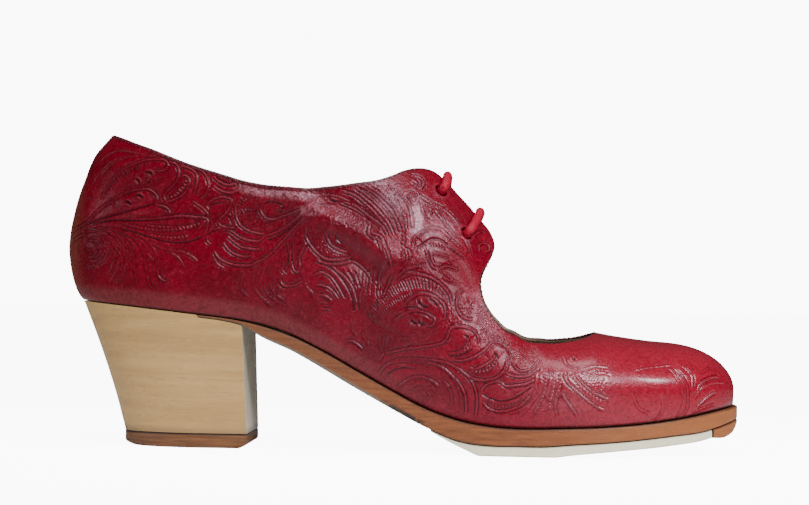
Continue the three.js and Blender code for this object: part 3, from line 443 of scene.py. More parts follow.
# Tooling of the leather: marks picked on the photo, in millimetres on the leather. Each is
# its distance from the back seam along the girth, then its height up the leather from the sole.
# The inner side mirrors the outer one. An indented line goes on with the stroke above it.
TOOLING = """
line: 9.5 27.5, 19.1 30.7, 23 34, 27.3 37.4, 31.3 39.9, 36.5 43.2, 41.2 44.5, 45.6 45, 48.6 44, 50.3 42.3,
    50.3 40.3
groove: 20.8 30.5, 27.3 32.6, 34.7 34.9, 40.8 36.8, 46.4 38.6, 50.3 39.8
line: 50.3 39.2, 53.4 39, 55.1 38.4, 56 37, 55.1 35.4, 53 34.5
groove: 53 34.2, 46 33.1, 39.5 32.7, 31.3 32.1, 22.6 30.3
swell: 34.3 37.7, 39.9 40.7, 46 42.3
swell: 39.1 34.3, 46 36, 52.5 37.1
eye: 41.2 42.1, 43 42.3, 44.7 41.2
eye: 36.9 39.5, 38.6 39.5, 39.9 38.3
line: 43 33.3, 51.7 34.4, 59.9 36, 66.3 36.3, 70.4 36.2, 70.9 33.3, 69.6 29.9
groove: 36.9 29.2, 41.7 28.6, 47.3 27.5, 53.4 26.2, 60.3 26, 65.4 27.5, 69.6 29.6
beads: 37.3 31.6, 42.5 30.7, 47.3 30.1, 53 30.1, 58.2 30.7, 63.8 32, 67.9 33.9
beads: 47.3 28, 53 27.6, 58.6 27.7, 64.2 29.1
vein: 21.7 29.8, 29.1 28.7, 34.7 26.4, 37.3 22.3, 36.5 16.7, 34.3 12.1, 31.3 8.9
vein: 23 29.9, 33 28.2, 38.2 25, 40.4 20.7, 39.1 14.6, 36 8.5
vein: 31.7 29.5, 39.9 27.8, 44.3 24.6, 46.9 20.4, 47.3 16, 48.6 10.4, 50.3 7.2
vein: 39.9 28.8, 46.4 26.8, 50.8 24.5, 56 23.2, 60.8 23.2
vein: 26 29.6, 33.4 27.4, 36 24.1, 35.2 19.5, 33.9 15.2
vein: 35.6 29.3, 42.5 26.7, 46.4 22.6, 50.3 18.8, 51.2 14.7
line: 52.1 15.9, 52.5 12.8, 54.7 11.4, 56.4 12.6
vein: 18.7 27.2, 23.9 27.8, 29.1 27, 32.1 24.2, 32.1 20.3, 29.9 17.1, 25.6 15.1, 20.8 14.5
vein: 21.7 22.9, 24.7 25.2, 28.2 24.8, 29.5 21.9, 27.8 18.7, 23.4 17.3
line: 11.7 23.8, 15.6 25.4, 19.1 26.6
line: 26 39.9, 26 43.6, 28.6 48.5, 32.6 52.4, 37.8 54.9, 43.8 56.5, 50.3 56.8, 53 55.6, 53 53.9, 51.2 52.5,
    46.4 52
vein: 20.8 49.9, 24.3 53.6, 29.5 56.4, 37.3 58, 44.7 57.9, 49.9 57.4
ribs 2.2 1.15: 26.9 42, 27.8 45, 29.9 47.6, 33.4 50.3, 37.3 52.5, 41.2 53.9
eye: 43 51.4, 45.6 51.4, 46.9 50
eye: 39.1 48.7, 40.8 48.1, 41.7 46.6
eye: 46 48.9, 46 47.9, 45.1 47.2
vein: 33.4 41.5, 36.9 44.7, 43.4 46, 49 47.8, 52.5 49.6
line: 53.4 56.1, 56.9 55.5, 58.6 52.9, 58.2 49.7, 56 46.6, 53.8 44.3, 53.4 42, 54.7 40.8
line: 59.5 51.2, 62.1 51.4, 63.4 49.7, 62.9 46.9, 60.8 44, 57.3 41.9, 54.7 40.8
beads: 62.1 50, 61.2 47.2, 59.5 45.7, 58.2 44, 56 42.6
line: 59.5 54.9, 63.4 54.4, 65.9 52.6, 66.3 50.1, 65.9 46.8, 65 44
line: 64.2 54.7, 67.9 53.9, 70 51.8, 70.9 48.8, 70 45.6, 67.5 42.7
swell: 68.4 51.6, 69.2 48.6, 67.9 45
vein: 65 41.9, 67.9 40.4, 70.4 38.4, 70.9 35.9
vein: 13.9 39.7, 15.2 43.4, 17.4 47.6, 19.1 50.8
vein: 13.5 34.1, 15.6 37.8, 19.1 41.5
line: 72.6 52.1, 74.7 50.7, 77.6 49.8, 80.6 50.7, 81.4 51.8
line: 72.6 48.7, 75.5 47.3, 78.9 47, 81.4 48.1, 82.7 49.8, 81.8 51.7, 78.9 52.6, 75.9 53.1
line: 70.9 39.3, 70.4 41.2, 72.1 43.4, 75.1 44.8, 77.6 45.1, 79.7 44.4, 79.3 42.3, 78 39.7, 75.9 37.4,
    74.2 35.5, 73 33.8, 71.3 31.8
groove: 71.3 40.9, 73.8 42.4, 76.8 42.9
line: 75.9 36.7, 75.1 34.7, 78 33.9, 81 34.5, 80.1 36.7, 79.3 39.1
line: 70.9 30, 70.9 27.8, 72.6 27
groove: 70.9 30, 72.6 31.7, 75.5 32.8
line: 82.7 45.4, 81.4 41.4, 81.8 37.5, 84 35.1, 87.5 34.1, 91.4 34.3, 94.4 35.6
line: 80.1 40.4, 80.6 37.3, 82.3 34.2
line: 91.8 45, 90.9 42.8, 92.7 40.7, 95.7 40.9, 99.2 43.2, 104 46.5, 107.4 49
groove: 91.8 45.4, 94 46.9, 97.4 47.5, 99.6 47.1, 99.2 45.1, 97 44.2
line: 75.9 33, 78.9 33.1, 81 32.2, 83.1 31.2, 86.6 30.7, 90.5 31.5, 92.7 34, 95.3 35.4, 100 39.1,
    104.4 43.9, 107.4 47.5
line: 78.4 30.6, 81 29, 83.6 27.7, 87 27.7, 90.1 28.3, 92.2 29.8
line: 76.8 28, 79.3 25.4, 82.7 24.3, 85.7 24.5, 88.3 26.1
line: 73.4 24.5, 75.5 22, 78.9 20.8, 82.3 20.7, 86.6 21.5, 90.1 23.7, 93.5 26.4, 97.4 31.1, 101.8 37.3,
    105.2 42.2, 108.7 46.4
vein: 72.6 23.4, 74.7 20, 78 18.3
groove: 93.5 32.4, 98.3 35.7, 103.5 41, 107.4 46
line: 101.8 34.1, 102.7 30.4, 103.5 27.2, 104.4 25.1, 106.1 25.1, 107 27.3, 106.5 30.4, 107.8 33.7, 109.1 37
line: 100.9 27, 100 23.4, 101.8 22.4
line: 98.7 21.1, 99.6 18.5, 101.8 18.3, 105.2 20.1, 108.3 23
vein: 97 19.7, 98.7 16.8, 101.3 16.3
vein: 90.5 22.5, 88.8 18.3, 88.8 14.4, 90.9 11.7, 94 9.7, 97 8.5
vein: 93.5 23.4, 91.8 17.3, 93.5 13.7, 97 11.5, 101.8 11.1
vein: 95.7 24.1, 94.4 19.5, 95.3 15.9, 98.3 13.9
vein: 85.7 19.9, 84 15.4, 84.4 11.9, 87 9.6
line: 109.6 43.5, 109.1 39.3, 111.3 36.7, 114.3 35.3, 117.7 35.1, 122.2 37.1, 126.1 39.8, 127.9 42.4
line: 117.2 45, 117.7 42.5, 119.3 41, 122.6 40.9, 125.7 41.7
groove: 120.6 46.3, 121.4 44.4, 123.8 43.8
line: 113.8 33.3, 116 33, 119.7 34.2, 123.4 36.1, 127.9 39.4, 131.5 39.1, 134.5 37.9, 135.6 36.1, 134.9 31.8
line: 127.6 35.6, 129.4 34.8, 130.8 32.2, 131.5 30.9
groove: 126.5 34.9, 128.3 33.5, 129.4 31.1
line: 112.1 26.4, 115.1 29, 118.9 29.5, 121.4 28, 123.8 25.8, 125.3 23.9
line: 113.8 23.9, 116.8 24.9, 120.2 24.6, 123 22.7
line: 114.3 20.6, 117.2 21.4, 120.6 21
line: 115.1 18.1, 118.9 19.6
line: 115.5 16, 120.2 17.6
line: 120.6 33.1, 124.9 32.3, 128.3 30.1, 130.1 26.7, 130.8 22.5
groove: 113 31.8, 117.2 32.6, 121.8 32.1, 126.1 29.4, 128.6 26, 129.7 21.3
vein: 108.3 25.8, 109.6 21.5, 112.5 19.7, 113.4 15.4
line: 122.2 62.7, 126.5 63.6, 130.4 62.6, 135.6 60.9, 139.8 58.8, 142.4 55.9
line: 122.6 59, 127.6 59.8, 132.3 58.8, 138.1 57.9, 141.2 55.8
line: 126.8 66.5, 132.3 65.4, 137.4 63.8, 141.7 61.4, 144.7 58
line: 129 68.1, 134.5 67.5, 139.5 65.9, 143.4 63.3, 145.4 59.5
line: 131.2 69, 136 68.9, 141.2 67.1, 144.4 64.3, 147.3 60.3
ribs 2.0 1.0: 140.7 72.2, 143.2 69.4, 145.6 65.9, 147.3 62.3
line: 141.2 74.3, 144.7 72.6, 147.7 69.9, 149.3 66.2, 150.5 63.1
vein: 137.8 74.7, 141.7 72.4, 144.7 69.2, 147.7 66.3, 149 61.9
line: 145.2 75.9, 147.5 76.9, 149.6 75.7, 149.3 73.1, 147.3 73.1, 145.6 74.9
line: 151.1 75.6, 152.3 72.4, 154.1 70.2, 156.3 69.4
line: 151.1 75.6, 153.8 75.7, 156.3 76.7, 157.9 74.7, 159.6 72, 161.5 70.4, 163.2 68.8
groove: 155.8 74.5, 158.1 72.5, 159.8 71.1
eye: 154.3 73.8, 155.1 73.2, 155.6 72.1
line: 149.9 77.6, 154.6 77.4, 158.1 77.4, 161.5 75.6, 163.9 71.8, 165.8 69.1
line: 151.1 56.6, 151.7 60, 153.8 63.7, 156.3 66.9, 159 68.2, 161.9 67.1, 164.3 65.8, 166 65.2
groove: 152.8 56.6, 154.3 58.3, 155.8 60.6, 157.9 63, 160.6 63.7, 163.6 62.3, 166.3 61.6, 168.2 60.9
swell: 153.6 60.1, 156 64.2, 159.2 66.1, 162.5 64.8
line: 158.5 57.6, 161.3 58.3, 164.3 58.9
ribs 1.6 0.9: 157.2 60.1, 159.4 61.3, 161.9 61.6
line: 156.5 57.5, 157.6 54.7, 159.8 52.4, 160.8 52.9
line: 161.9 52.2, 162.8 53.8, 165.3 55.3, 168.2 55.4
line: 163.4 50.4, 165.8 50.1, 168 50.4
line: 170.5 68.8, 169.2 70.9, 169.5 74.2, 170.9 75.3, 171.9 72.3, 171.4 69.7
line: 166.7 73.4, 166.7 76.8, 167 80.7, 168.2 80.9
line: 165.3 73.2, 166 69.4, 167.5 67.2, 169 63.9
line: 147 43.4, 149.6 46.7, 153.3 49.5, 156.3 51.1
line: 147.3 41.5, 148.5 43.4, 152.5 46.7, 157 48, 161 48.1, 164.8 46.7, 167.2 44.5, 168.2 41.7
ribs 3.6 1.35: 136.4 21.7, 137.8 26.6, 140.5 31.1, 144.2 35.5, 148.2 39.6, 152.8 43, 157.2 45.1,
    161.5 45.6, 164.8 44.4, 166.5 42.3
line: 171.3 49.4, 169.7 45.8, 170 42.3, 171.4 39.2, 174 37.8, 177.8 38.2
vein: 173.5 42.6, 171.4 45.3
vein: 173.5 42.6, 173.2 46.9
vein: 173.5 42.6, 176.3 46.6
vein: 173.5 42.6, 178.3 43.1
vein: 173.5 42.6, 175.6 39.7
vein: 173.5 42.6, 171.8 41.1
line: 144.7 83.4, 147.7 85.2, 149.9 83.7, 149.6 80.7, 147.5 80.5, 145.2 80.9
groove: 146.6 83.4, 148 82.6, 148.2 81.2
vein: 149.3 49.8, 150.8 53.2, 148.7 54, 147.3 50.3
line: 138.7 52.6, 141.2 50.4, 142.9 47.8, 144.2 45
line: 136.7 52.4, 139.3 51.7, 140.7 49.2
line: 133.4 56, 133.4 52.5, 136.4 51.5
vein: 137.4 37, 139.5 35.1, 140.5 32.5, 138.1 28.8
vein: 142.1 46.5, 140 42.1, 139.3 37.3, 140.9 32.8
vein: 135.3 37.9, 135.3 32.9, 134.9 27.2, 134.5 22.8
line: 150.2 33.7, 152 36.8, 154.8 39.7, 158.3 41.6, 162.3 41.9, 165.5 40.3, 166.7 38, 166.5 35.5, 165.3 34.7
eye: 155.8 38.7, 156.7 37.2, 159 37.1, 160.4 37.6
eye: 159.8 40.1, 161.9 40, 163.4 38.8
groove: 149.9 32.8, 152.5 34.3, 156 35.8
line: 146.6 26.9, 149.9 30.4, 153.6 33.4, 157.9 34.9, 161.3 34.7, 163.2 33.8, 161.9 31.4, 159.6 30.6
eye: 153.3 30.5, 154.3 29.5, 157 29.9
eye: 156.3 31.6, 157.6 30.1, 159.2 31.5
swell: 152.3 35.6, 158.5 39.2, 163.2 38.1
swell: 150.5 28, 155.1 31.9, 160.4 32.9
line: 143.2 12.8, 147.5 16, 152.3 19, 159.2 22.7, 163.9 25.1, 167.2 27.3, 168.7 30.4, 169.2 32.4, 171.4 34,
    174.8 34.5, 178.5 34.1, 181 32, 180.4 29.7
line: 175.6 31.1, 176.5 29.5, 175 26.6, 172.3 24.6, 169.2 23.6
eye: 174.4 31.5, 175.8 31.4, 176.3 30.3
groove: 168.7 22.7, 172.4 23.5, 175.9 25.3, 178.9 27.7
swell: 171.3 27, 172.7 30.3, 175.6 33, 178.7 31.6
line: 170.5 21.6, 174.1 22.2, 178.3 23.9, 181.8 26.2, 184.8 28.9, 186.6 31.1, 189.7 31.5, 192.5 29.7,
    193.6 26.9, 191.8 25
line: 188 26.4, 186.9 24.7, 183.8 22.3, 179.8 20.3, 177.4 20.5
eye: 187.1 27.1, 188.3 26.7, 188 25.6
line: 192.5 24.9, 190.9 20.8, 187.7 18.1, 183.4 16.7, 178.7 16.7, 175.6 18.2
swell: 184.6 25.3, 188.3 29, 190.9 27.6
line: 193.9 24.8, 196 22, 198.4 21.3, 201.6 22.8, 204.1 26.7
line: 192.1 19.8, 196 19.1, 200.4 19.7, 204.1 22.8
line: 182.3 12.4, 184.1 15.1, 187.7 16.8, 190 16.6, 191.5 15.5, 194.6 15.7, 199.6 16.6, 202.9 18.4
groove: 182.3 12, 185.1 10.7, 189.5 9.9, 194.3 10.9, 198.4 13.3, 202 15.9
line: 183.1 8.7, 185.1 6.8, 188.6 6, 192.8 6.7, 197.3 8.6, 200.8 12.1
vein: 192.5 5.6, 197.3 7, 201.6 10, 204.1 13.4
line: 139.8 3.2, 143.2 8.6, 148 12.9, 153.8 16, 161 18.5, 166.7 19.9, 171.8 19.5, 176.5 17.3, 179.8 13.7,
    180.8 9.5, 180.6 5.3, 180.2 2.8
line: 143.7 9.5, 151.4 14.1, 159.2 17.1, 165.8 17.9, 170.9 15.8, 174.3 12.9, 176.1 10, 176.5 6.6, 176.5 3.5
groove: 143.2 4.5, 146.6 8.3, 150.5 11.1, 154.8 12.7
line: 147.5 2, 151.4 6.6, 155.3 9.8, 159.2 11.6, 163 11.3, 165.8 10.3
vein: 152.8 5, 156.3 7.7, 159.6 8.7, 163 8.6
vein: 166.7 13.5, 170 10.8, 170.9 7, 170 3.9
vein: 140.7 19, 140.3 14.9, 141.7 12.1, 139.3 7.7
vein: 144.7 20.8, 143.2 16.1, 143.7 14
line: 213.3 21, 214.3 17.3, 217.1 14.4, 221.3 10.8, 225.4 7.8, 229.1 6.1
line: 212.6 13.8, 214.3 10.4, 216.8 7, 218.5 4.6
line: 211.1 12.7, 210.4 8.8, 211.1 4.9
vein: 208.1 23.2, 208.5 18.1, 207 12.3, 205 7.7
beads: 209.2 20.4, 209.6 15.7, 208.5 10.1, 208.1 6.1
beads: 211.8 20.5, 211.8 15.6, 210 11.2
beads: 206.2 19.9, 206.6 15.3, 205 10.2, 202.9 6.2
line: 217.5 19.6, 220.7 15.9, 224.1 13, 227.8 11.1, 230.4 9.9
beads: 215.7 20.4, 219.5 15.5, 223.7 11.9, 227.3 9.5
vein: 227.3 17, 226.5 14.5, 229.1 11.6
vein: 203.3 21, 202.9 14.6, 200.8 8.9, 197 4.9
vein: 200 15.8, 198.4 11.3, 194.3 7.2
vein: 213.6 29.2, 215 24.1, 219.8 22.3, 224.4 23.5, 230.4 22.7
vein: 222 19.7, 226.5 20.7, 231.2 19.6
eye: 216.8 29.2, 217.1 27.8, 217.5 26.6
vein: 239.9 20.6, 245.1 21.9, 251.6 22.1, 256.8 21.8
vein: 255.1 20.5, 257.7 16.5, 259.9 11.2, 260.3 6, 258.6 1.7, 256.4 0
line: 257.7 20, 260.7 15.4, 262.5 10.3, 262.5 4.6, 260.3 0.2
vein: 251.2 9.6, 251.6 4.9, 249.5 1.7, 246.9 0.2
line: 265.5 16.6, 265.1 12.2, 264.6 10
line: 266.8 8.9, 270.3 11.9, 277.2 12.6, 280.3 11.8
vein: 265.1 6.5, 269 9.3, 275.5 10.5, 283.7 9.3
line: 266.8 2.6, 270.7 4.9, 275.1 6.5, 277.2 7
vein: 264.6 0.6, 269.9 2.1, 276.8 2.7
vein: 261.2 20.6, 264.2 16.8, 266 13.1
vein: 240.8 13, 240.3 9.7, 242.1 6.1, 246 3.9
vein: 270.3 15.2, 276.4 16.4, 282 14.3, 285 11.2
vein: 20.8 24.4, 24.7 24, 27.3 21.8, 26 18.8, 22.6 17.6
vein: 33.4 27.6, 39.5 25.1, 42.5 20, 43 14.4, 43.8 8.8
vein: 36.5 28.4, 43 26.1, 46.9 22, 47.7 15.9, 48.2 10.2, 50.8 7.5
vein: 39.5 28.9, 45.6 27.1, 50.3 23.5, 53.4 18.1
vein: 35.2 22.5, 37.8 18.8, 37.3 12.8, 34.3 8
vein: 56.4 22.4, 59.9 20.6, 62.5 17
vein: 31.7 23.9, 34.7 20.1, 33.4 14.9, 30.4 10.6
vein: 59.5 23.4, 64.2 22, 67.5 19.8
vein: 96.1 23.4, 95.3 18, 97 14.1, 101.8 12.3
vein: 91.8 19.8, 90.9 15.2, 93.5 11.4
vein: 81.4 17.5, 82.7 13.3, 85.7 10.5
vein: 11.7 51.8, 12.2 47.3, 13.5 42.4
vein: 15.6 54.3, 19.5 58, 25.6 60.2, 34.7 59.4, 42.5 57.9
line: 102.7 34.8, 103.1 30.3, 102.7 25.6
ribs 2.6 1.5: 26.5 42.6, 29.1 46.1, 32.1 49.7, 35.6 52.1, 40.4 53.8, 45.1 54.4
ribs 2.6 1.2: 83.1 42.9, 84.4 45.8, 87.5 47.2, 90.9 47.9
ribs 2.4 1.2: 83.1 40.1, 86.2 41.9, 89.6 42
beads: 47.3 31.4, 52.5 31.2, 58.2 31.5, 64.2 32.7, 68.4 34.6
beads: 141.7 68.4, 144.2 66, 146.1 62.5, 147.3 58.3, 147.3 54.7
beads: 129.7 61.8, 133 60.9, 137.1 59.8, 140.9 58.1
beads: 135.6 67.2, 140.3 65.5, 143.7 62.4, 145.9 59.5
ribs 2.2 1.4: 107.4 50.2, 110.8 49.3, 114.7 49.5
vein: 107 48.8, 110.4 54.2, 115.1 57.9, 121 60, 126.1 60.3, 130.4 60.4
vein: 113.4 53.3, 119.3 57.3, 124.9 58.4, 130.1 58.3, 135.6 57.6, 139.8 56.4
eye: 117.2 57.5, 119.3 57.6, 121.4 58.5
vein: 136 52.2, 138.1 51.4, 139.5 49.1
vein: 134.1 52.9, 138.1 53.8, 140.5 51.5, 140.9 48.7
vein: 136 42.3, 136 36.6, 135.6 29.8, 135.6 24.2
vein: 132.6 39.2, 133 34, 132.3 28, 132.6 22.6
line: 144.9 43.2, 142.9 37.7, 141.2 33, 139.3 32.5, 139.3 37, 139.8 41.9
ribs 2.0 1.2: 139.3 23, 141.9 27.5, 145.2 32.1, 148.7 35.8, 153.6 39.9
vein: 147 54.5, 149 53.4, 149.6 49.9, 146.8 46.4
vein: 152.8 50, 156.5 53.5, 157.2 56, 155.8 57.4
vein: 158.1 57.3, 159.6 53.7, 162.8 54.6
vein: 161.9 52.2, 164.8 51.7, 168.2 50.2, 170 50.9
vein: 163.4 58.2, 166.3 56.3, 168.2 54.7
line: 125.3 8.3, 128.3 10.3, 131.2 10.4, 133.8 9.4
vein: 133 17.3, 134.1 14.6, 136.4 12.4
vein: 130.4 19.6, 129 15.3, 131.2 13.2
vein: 149 21.6, 154.1 23.4, 160 27.4, 163.4 31
vein: 150.2 19.3, 155.3 22.9, 161.3 26.4
vein: 152.3 2.1, 156.3 6.1, 160 7.9, 163 7, 164.1 5
vein: 158.1 0.4, 161 4.3, 161.5 6.3, 159.6 6.8
vein: 154.8 7.4, 158.1 9.2, 161.9 9.8
vein: 163.2 18.3, 168.7 16.9, 172.3 13.8, 174.3 9.7, 174.7 5.5
vein: 146.6 11.1, 151.4 14.1, 157.2 16.5
vein: 143.7 26.1, 147.5 30, 152.3 33.5
vein: 153.8 24.7, 159.2 27.1, 163.6 30.6, 166.3 33.7
beads: 178 19.6, 181.8 19.4, 185.6 21.1, 188.3 24.6
beads: 169.5 23.5, 172.7 23.9, 175.8 26.8, 176.9 29.6
ribs 2.4 1.3: 184.6 9.5, 188.6 8.3, 193.6 8.3, 198 10, 201.2 12.6
ribs 2.0 1.3: 170.2 47.8, 170.7 44.1, 171.6 41.3, 174 39
ribs 2.2 1.5: 182.5 35.9, 185.8 34.1, 190.3 33.2, 193.9 32.6
ground: 83.1 46.3, 86.6 48.1, 90.5 47.6, 91.4 45.4, 90.5 42.8, 92.7 40, 95.3 39.2, 93.5 36.1, 88.3 35.1,
    84.4 36.4, 82.7 39.2, 82.3 42.5
ground: 84.9 50.8, 97.4 53.4, 107.8 55.8, 113.8 57.8, 110.4 54.5, 104.4 49.5, 97.4 49.6, 90.5 49.2
ground: 110 43.9, 116.4 46, 117.2 42.3, 119.3 40.2, 125.3 40.7, 121.8 37.5, 117.2 35.8, 113.4 36.6,
    110.4 38.4
ground: 114.7 48.4, 121 51, 127.6 52.2, 131.2 50.5, 129.7 47.3, 123.4 47.9, 117.7 47.4
ground: 152 44.3, 157 47.2, 161.7 47.5, 165.3 45.4, 167 42.8, 164.3 43.5, 160.8 45, 156.5 44.6
ground: 168.5 44.9, 169.5 45.2, 169.7 41.8, 171.1 38.6, 169.7 35.7, 167.2 34.8, 167.2 39.3
ground: 178.3 47.3, 183.4 44.3, 187.4 40.6, 190.9 37.5, 183.1 35.5, 179.1 37.2, 180.2 41.6
ground: 133.8 71.4, 139 74, 143.2 71.7, 146.8 67.1, 143.4 65.2, 139 68.8
ground: 156.7 83.3, 160.4 82.7, 163.6 77, 163.6 73.2, 160.8 76.6, 157.4 78.1
ground: 167.5 37.3, 171.4 37.1, 173.9 35.4, 169.7 34.2, 168.7 32.6, 167 33.8
ground: 181.8 35.7, 188.3 36, 192.8 33.4, 194.3 30.2, 190.9 32.3, 186.3 31.9, 182.3 29.4
ground: 194.3 29.1, 199.6 34.5, 204.1 32.8, 203.3 26.2, 199.2 22.4, 196 23.5
ground: 193.6 28.9, 203.7 28.4, 207 23.2, 204.6 19.9, 198.8 22.9, 194.3 23.3
ground: 205.4 20.5, 214 20.4, 211.5 12.2, 210 5.5, 202.9 5.7, 204.6 12.5
ground: 218.5 21, 226.5 21.5, 229.9 17.6, 229.5 11.8, 224.3 14.3, 219.5 17.3
ground: 83.1 50.9, 90.9 51.5, 99.6 53.3, 106.5 55.1, 106.5 51.7, 97 48.6, 87.9 48.1, 83.6 49.1
ground: 83.1 39.4, 90.5 40.5, 95.7 38.5, 92.7 36.1, 87 35.7
ground: 130.4 68.8, 136 72.5, 143.4 75.7, 147 73.2, 145.6 67.9, 141.2 68.5, 135.3 68.9
ground: 97.4 52.7, 105.7 55.6, 115.1 59.5, 120.2 62.5, 113.4 57.8, 106.1 53, 98.7 50.4
ground: 167.2 46.8, 169.2 44.4, 169.7 39.3, 172.9 35.6, 169.5 32.6, 168.2 38
ground: 182.3 9, 188.6 7.1, 194.9 6.9, 201.6 10.5, 202.5 14, 197.3 11.9, 190.9 9.9, 185.1 10.3
ground: 194.9 33.5, 200.4 35, 204.1 33.6, 203.3 27.4, 199.2 28.1, 195.6 30.5
ground: 219.8 23.1, 225.5 23.7, 231.2 22, 230.4 19.4, 224.3 20.8
"""


def on_leather(side, marks):
    """Row and level on the grid of marks given by distance from the back seam and height."""
    marks = np.array(marks, float)
    rows = np.interp(marks[:, 0], row_distance[::-1], np.arange(SIDE_ROWS, -1, -1))
    reach = np.interp(rows, np.arange(SIDE_ROWS + 1), outer_reach if side == OUTER else inner_reach)
    levels = np.clip(marks[:, 1] / reach, 0, 1) * (LEVELS - 1)
    return (rows if side == OUTER else 2 * SIDE_ROWS - rows), levels


def grid_read(field, rows, levels):
    """Value of a field of the grid at places between its points."""
    row = np.clip(np.floor(rows).astype(int), 0, 2 * SIDE_ROWS - 1)
    level = np.clip(np.floor(levels).astype(int), 0, LEVELS - 2)
    a, b = (rows - row)[:, None], (levels - level)[:, None]
    return ((field[row, level] * (1 - a) + field[row + 1, level] * a) * (1 - b)
            + (field[row, level + 1] * (1 - a) + field[row + 1, level + 1] * a) * b)


def smooth_marks(marks, step):
    """Marks along a smooth curve through the given ones, about a step apart."""
    marks = np.array(marks, float)
    padded = np.vstack([2 * marks[0] - marks[1], marks, 2 * marks[-1] - marks[-2]])
    out = []
    for at in range(1, len(padded) - 2):
        p0, p1, p2, p3 = padded[at - 1:at + 3]
        count = max(2, int(np.linalg.norm(p2 - p1) / step))
        t = np.linspace(0, 1, count, endpoint=False)[:, None]
        bend = 2 * p0 - 5 * p1 + 4 * p2 - p3 + t * (3 * (p1 - p2) + p3 - p0)
        out.append(p1 + 0.5 * t * (p2 - p0 + t * bend))
    out.append(marks[-1:])
    return np.concatenate(out)


# Spacing of the points of a stroke, length over which its ends fade, and points measured at once
STROKE_STEP = 0.35
STROKE_TAPER = 1.2
POINTS_AT_ONCE = 10
SMALLEST_CELL = 0.06
OUT_OF_REACH = 1e3


def path_lengths(path):
    """Length along a path from its start to each of its points."""
    return np.concatenate([[0], np.cumsum(np.linalg.norm(np.diff(path, axis=0), axis=1))])


class Stroke:
    """Cells around one stroke on the leather, with their distance from it."""

    def __init__(self, side, marks, margin, step=STROKE_STEP, taper=STROKE_TAPER):
        drawn = smooth_marks(marks, step) if len(marks) > 1 else marks
        rows, levels = on_leather(side, drawn)
        path = grid_read(leather_grid, rows, levels)
        ends = self.faded_ends(path, taper)
        low, high = self.box(rows, levels, margin, 1)
        self.window = (slice(low[0], high[0]), slice(low[1], high[1]))
        self.away = np.full((high[0] - low[0], high[1] - low[1]), OUT_OF_REACH)
        self.strength = np.zeros(self.away.shape)
        for start in range(0, len(path), POINTS_AT_ONCE):
            piece = slice(start, start + POINTS_AT_ONCE + 1)
            near_low, near_high = self.box(rows[piece], levels[piece], margin, 2)
            (a, c), (b, d) = np.maximum(low, near_low), np.minimum(high, near_high)
            gaps = np.linalg.norm(leather_grid[a:b, c:d, None] - path[piece], axis=3)
            best = gaps.argmin(axis=2)
            gap = gaps.min(axis=2)
            inner = (slice(a - low[0], b - low[0]), slice(c - low[1], d - low[1]))
            closer = gap < self.away[inner]
            self.away[inner] = np.where(closer, gap, self.away[inner])
            self.strength[inner] = np.where(closer, ends[piece][best], self.strength[inner])
        self.strength = np.sqrt(self.strength)

    @staticmethod
    def faded_ends(path, taper):
        """Strength at each point of the path, less near its ends; a single point is at full strength."""
        if len(path) == 1:
            return np.ones(1)
        lengths = path_lengths(path)
        return np.clip(np.minimum(lengths, lengths[-1] - lengths) / taper, 0, 1)

    @staticmethod
    def box(rows, levels, margin, past):
        """Lowest and highest row and level of the cells within a margin of the points."""
        row, level = int(min(rows.mean(), 2 * SIDE_ROWS - 1)), int(min(levels.mean(), LEVELS - 2))
        here = leather_grid[row, level]
        row_gap = np.linalg.norm(leather_grid[row + 1, level] - here)
        level_gap = np.linalg.norm(leather_grid[row, level + 1] - here)
        more_rows = margin / max(row_gap, SMALLEST_CELL) + 1
        more_levels = margin / max(level_gap, SMALLEST_CELL) + 1
        low = (max(0, int(rows.min() - more_rows)), max(0, int(levels.min() - more_levels)))
        high = (min(2 * SIDE_ROWS + 1, int(rows.max() + more_rows) + past),
                min(LEVELS, int(levels.max() + more_levels) + past))
        return low, high

    def bell(self, centre, width):
        return self.strength * np.exp(-((self.away - centre) / width) ** 2)


raised = np.zeros(leather_grid.shape[:2])
sunk = np.zeros(leather_grid.shape[:2])
swell = np.zeros(leather_grid.shape[:2])

# Profile of each kind of stroke: height and width of its ridge, depth, place and width of its groove
PROFILES = {
    "line": (0.28, 0.27, 0.25, 0.62, 0.28),
    "vein": (0.15, 0.28, 0.17, 0.60, 0.28),
    "groove": (0.10, 0.32, 0.34, 0.0, 0.36),
    "eye": (0.28, 0.32, 0.50, 0.0, 0.42),
    "bead": (0.30, 0.36, 0.2, 0.78, 0.28),
    "rib": (0.03, 0.30, 0.27, 0.0, 0.28),
    "dot": (0.0, 0.30, 0.19, 0.0, 0.32),
}
SMALLEST_MARGIN = 0.3

# Where the forepart starts, in distance from the back seam, and how strong its marks are
FOREPART_START = (196, 210)
FOREPART_LINES = 0.85
FOREPART_DOTS = 0.65


def press(side, kind, marks, taper=STROKE_TAPER):
    """Press one stroke into the leather, fainter on the forepart."""
    height, ridge_width, depth, groove_place, groove_width = PROFILES[kind]
    faint = FOREPART_DOTS if kind in ("dot", "bead") else FOREPART_LINES
    share = np.interp(marks[0][0], FOREPART_START, (1.0, faint))
    stroke = Stroke(side, marks, groove_place + 2 * groove_width + SMALLEST_MARGIN, taper=taper)
    ridge_place = 0.0 if groove_place > 0 else groove_width * 2
    up = share * height * stroke.bell(ridge_place, ridge_width)
    down = share * depth * stroke.bell(groove_place, groove_width)
    raised[stroke.window] = np.maximum(raised[stroke.window], up)
    sunk[stroke.window] = np.maximum(sunk[stroke.window], down)


FINE_STEP = 0.2


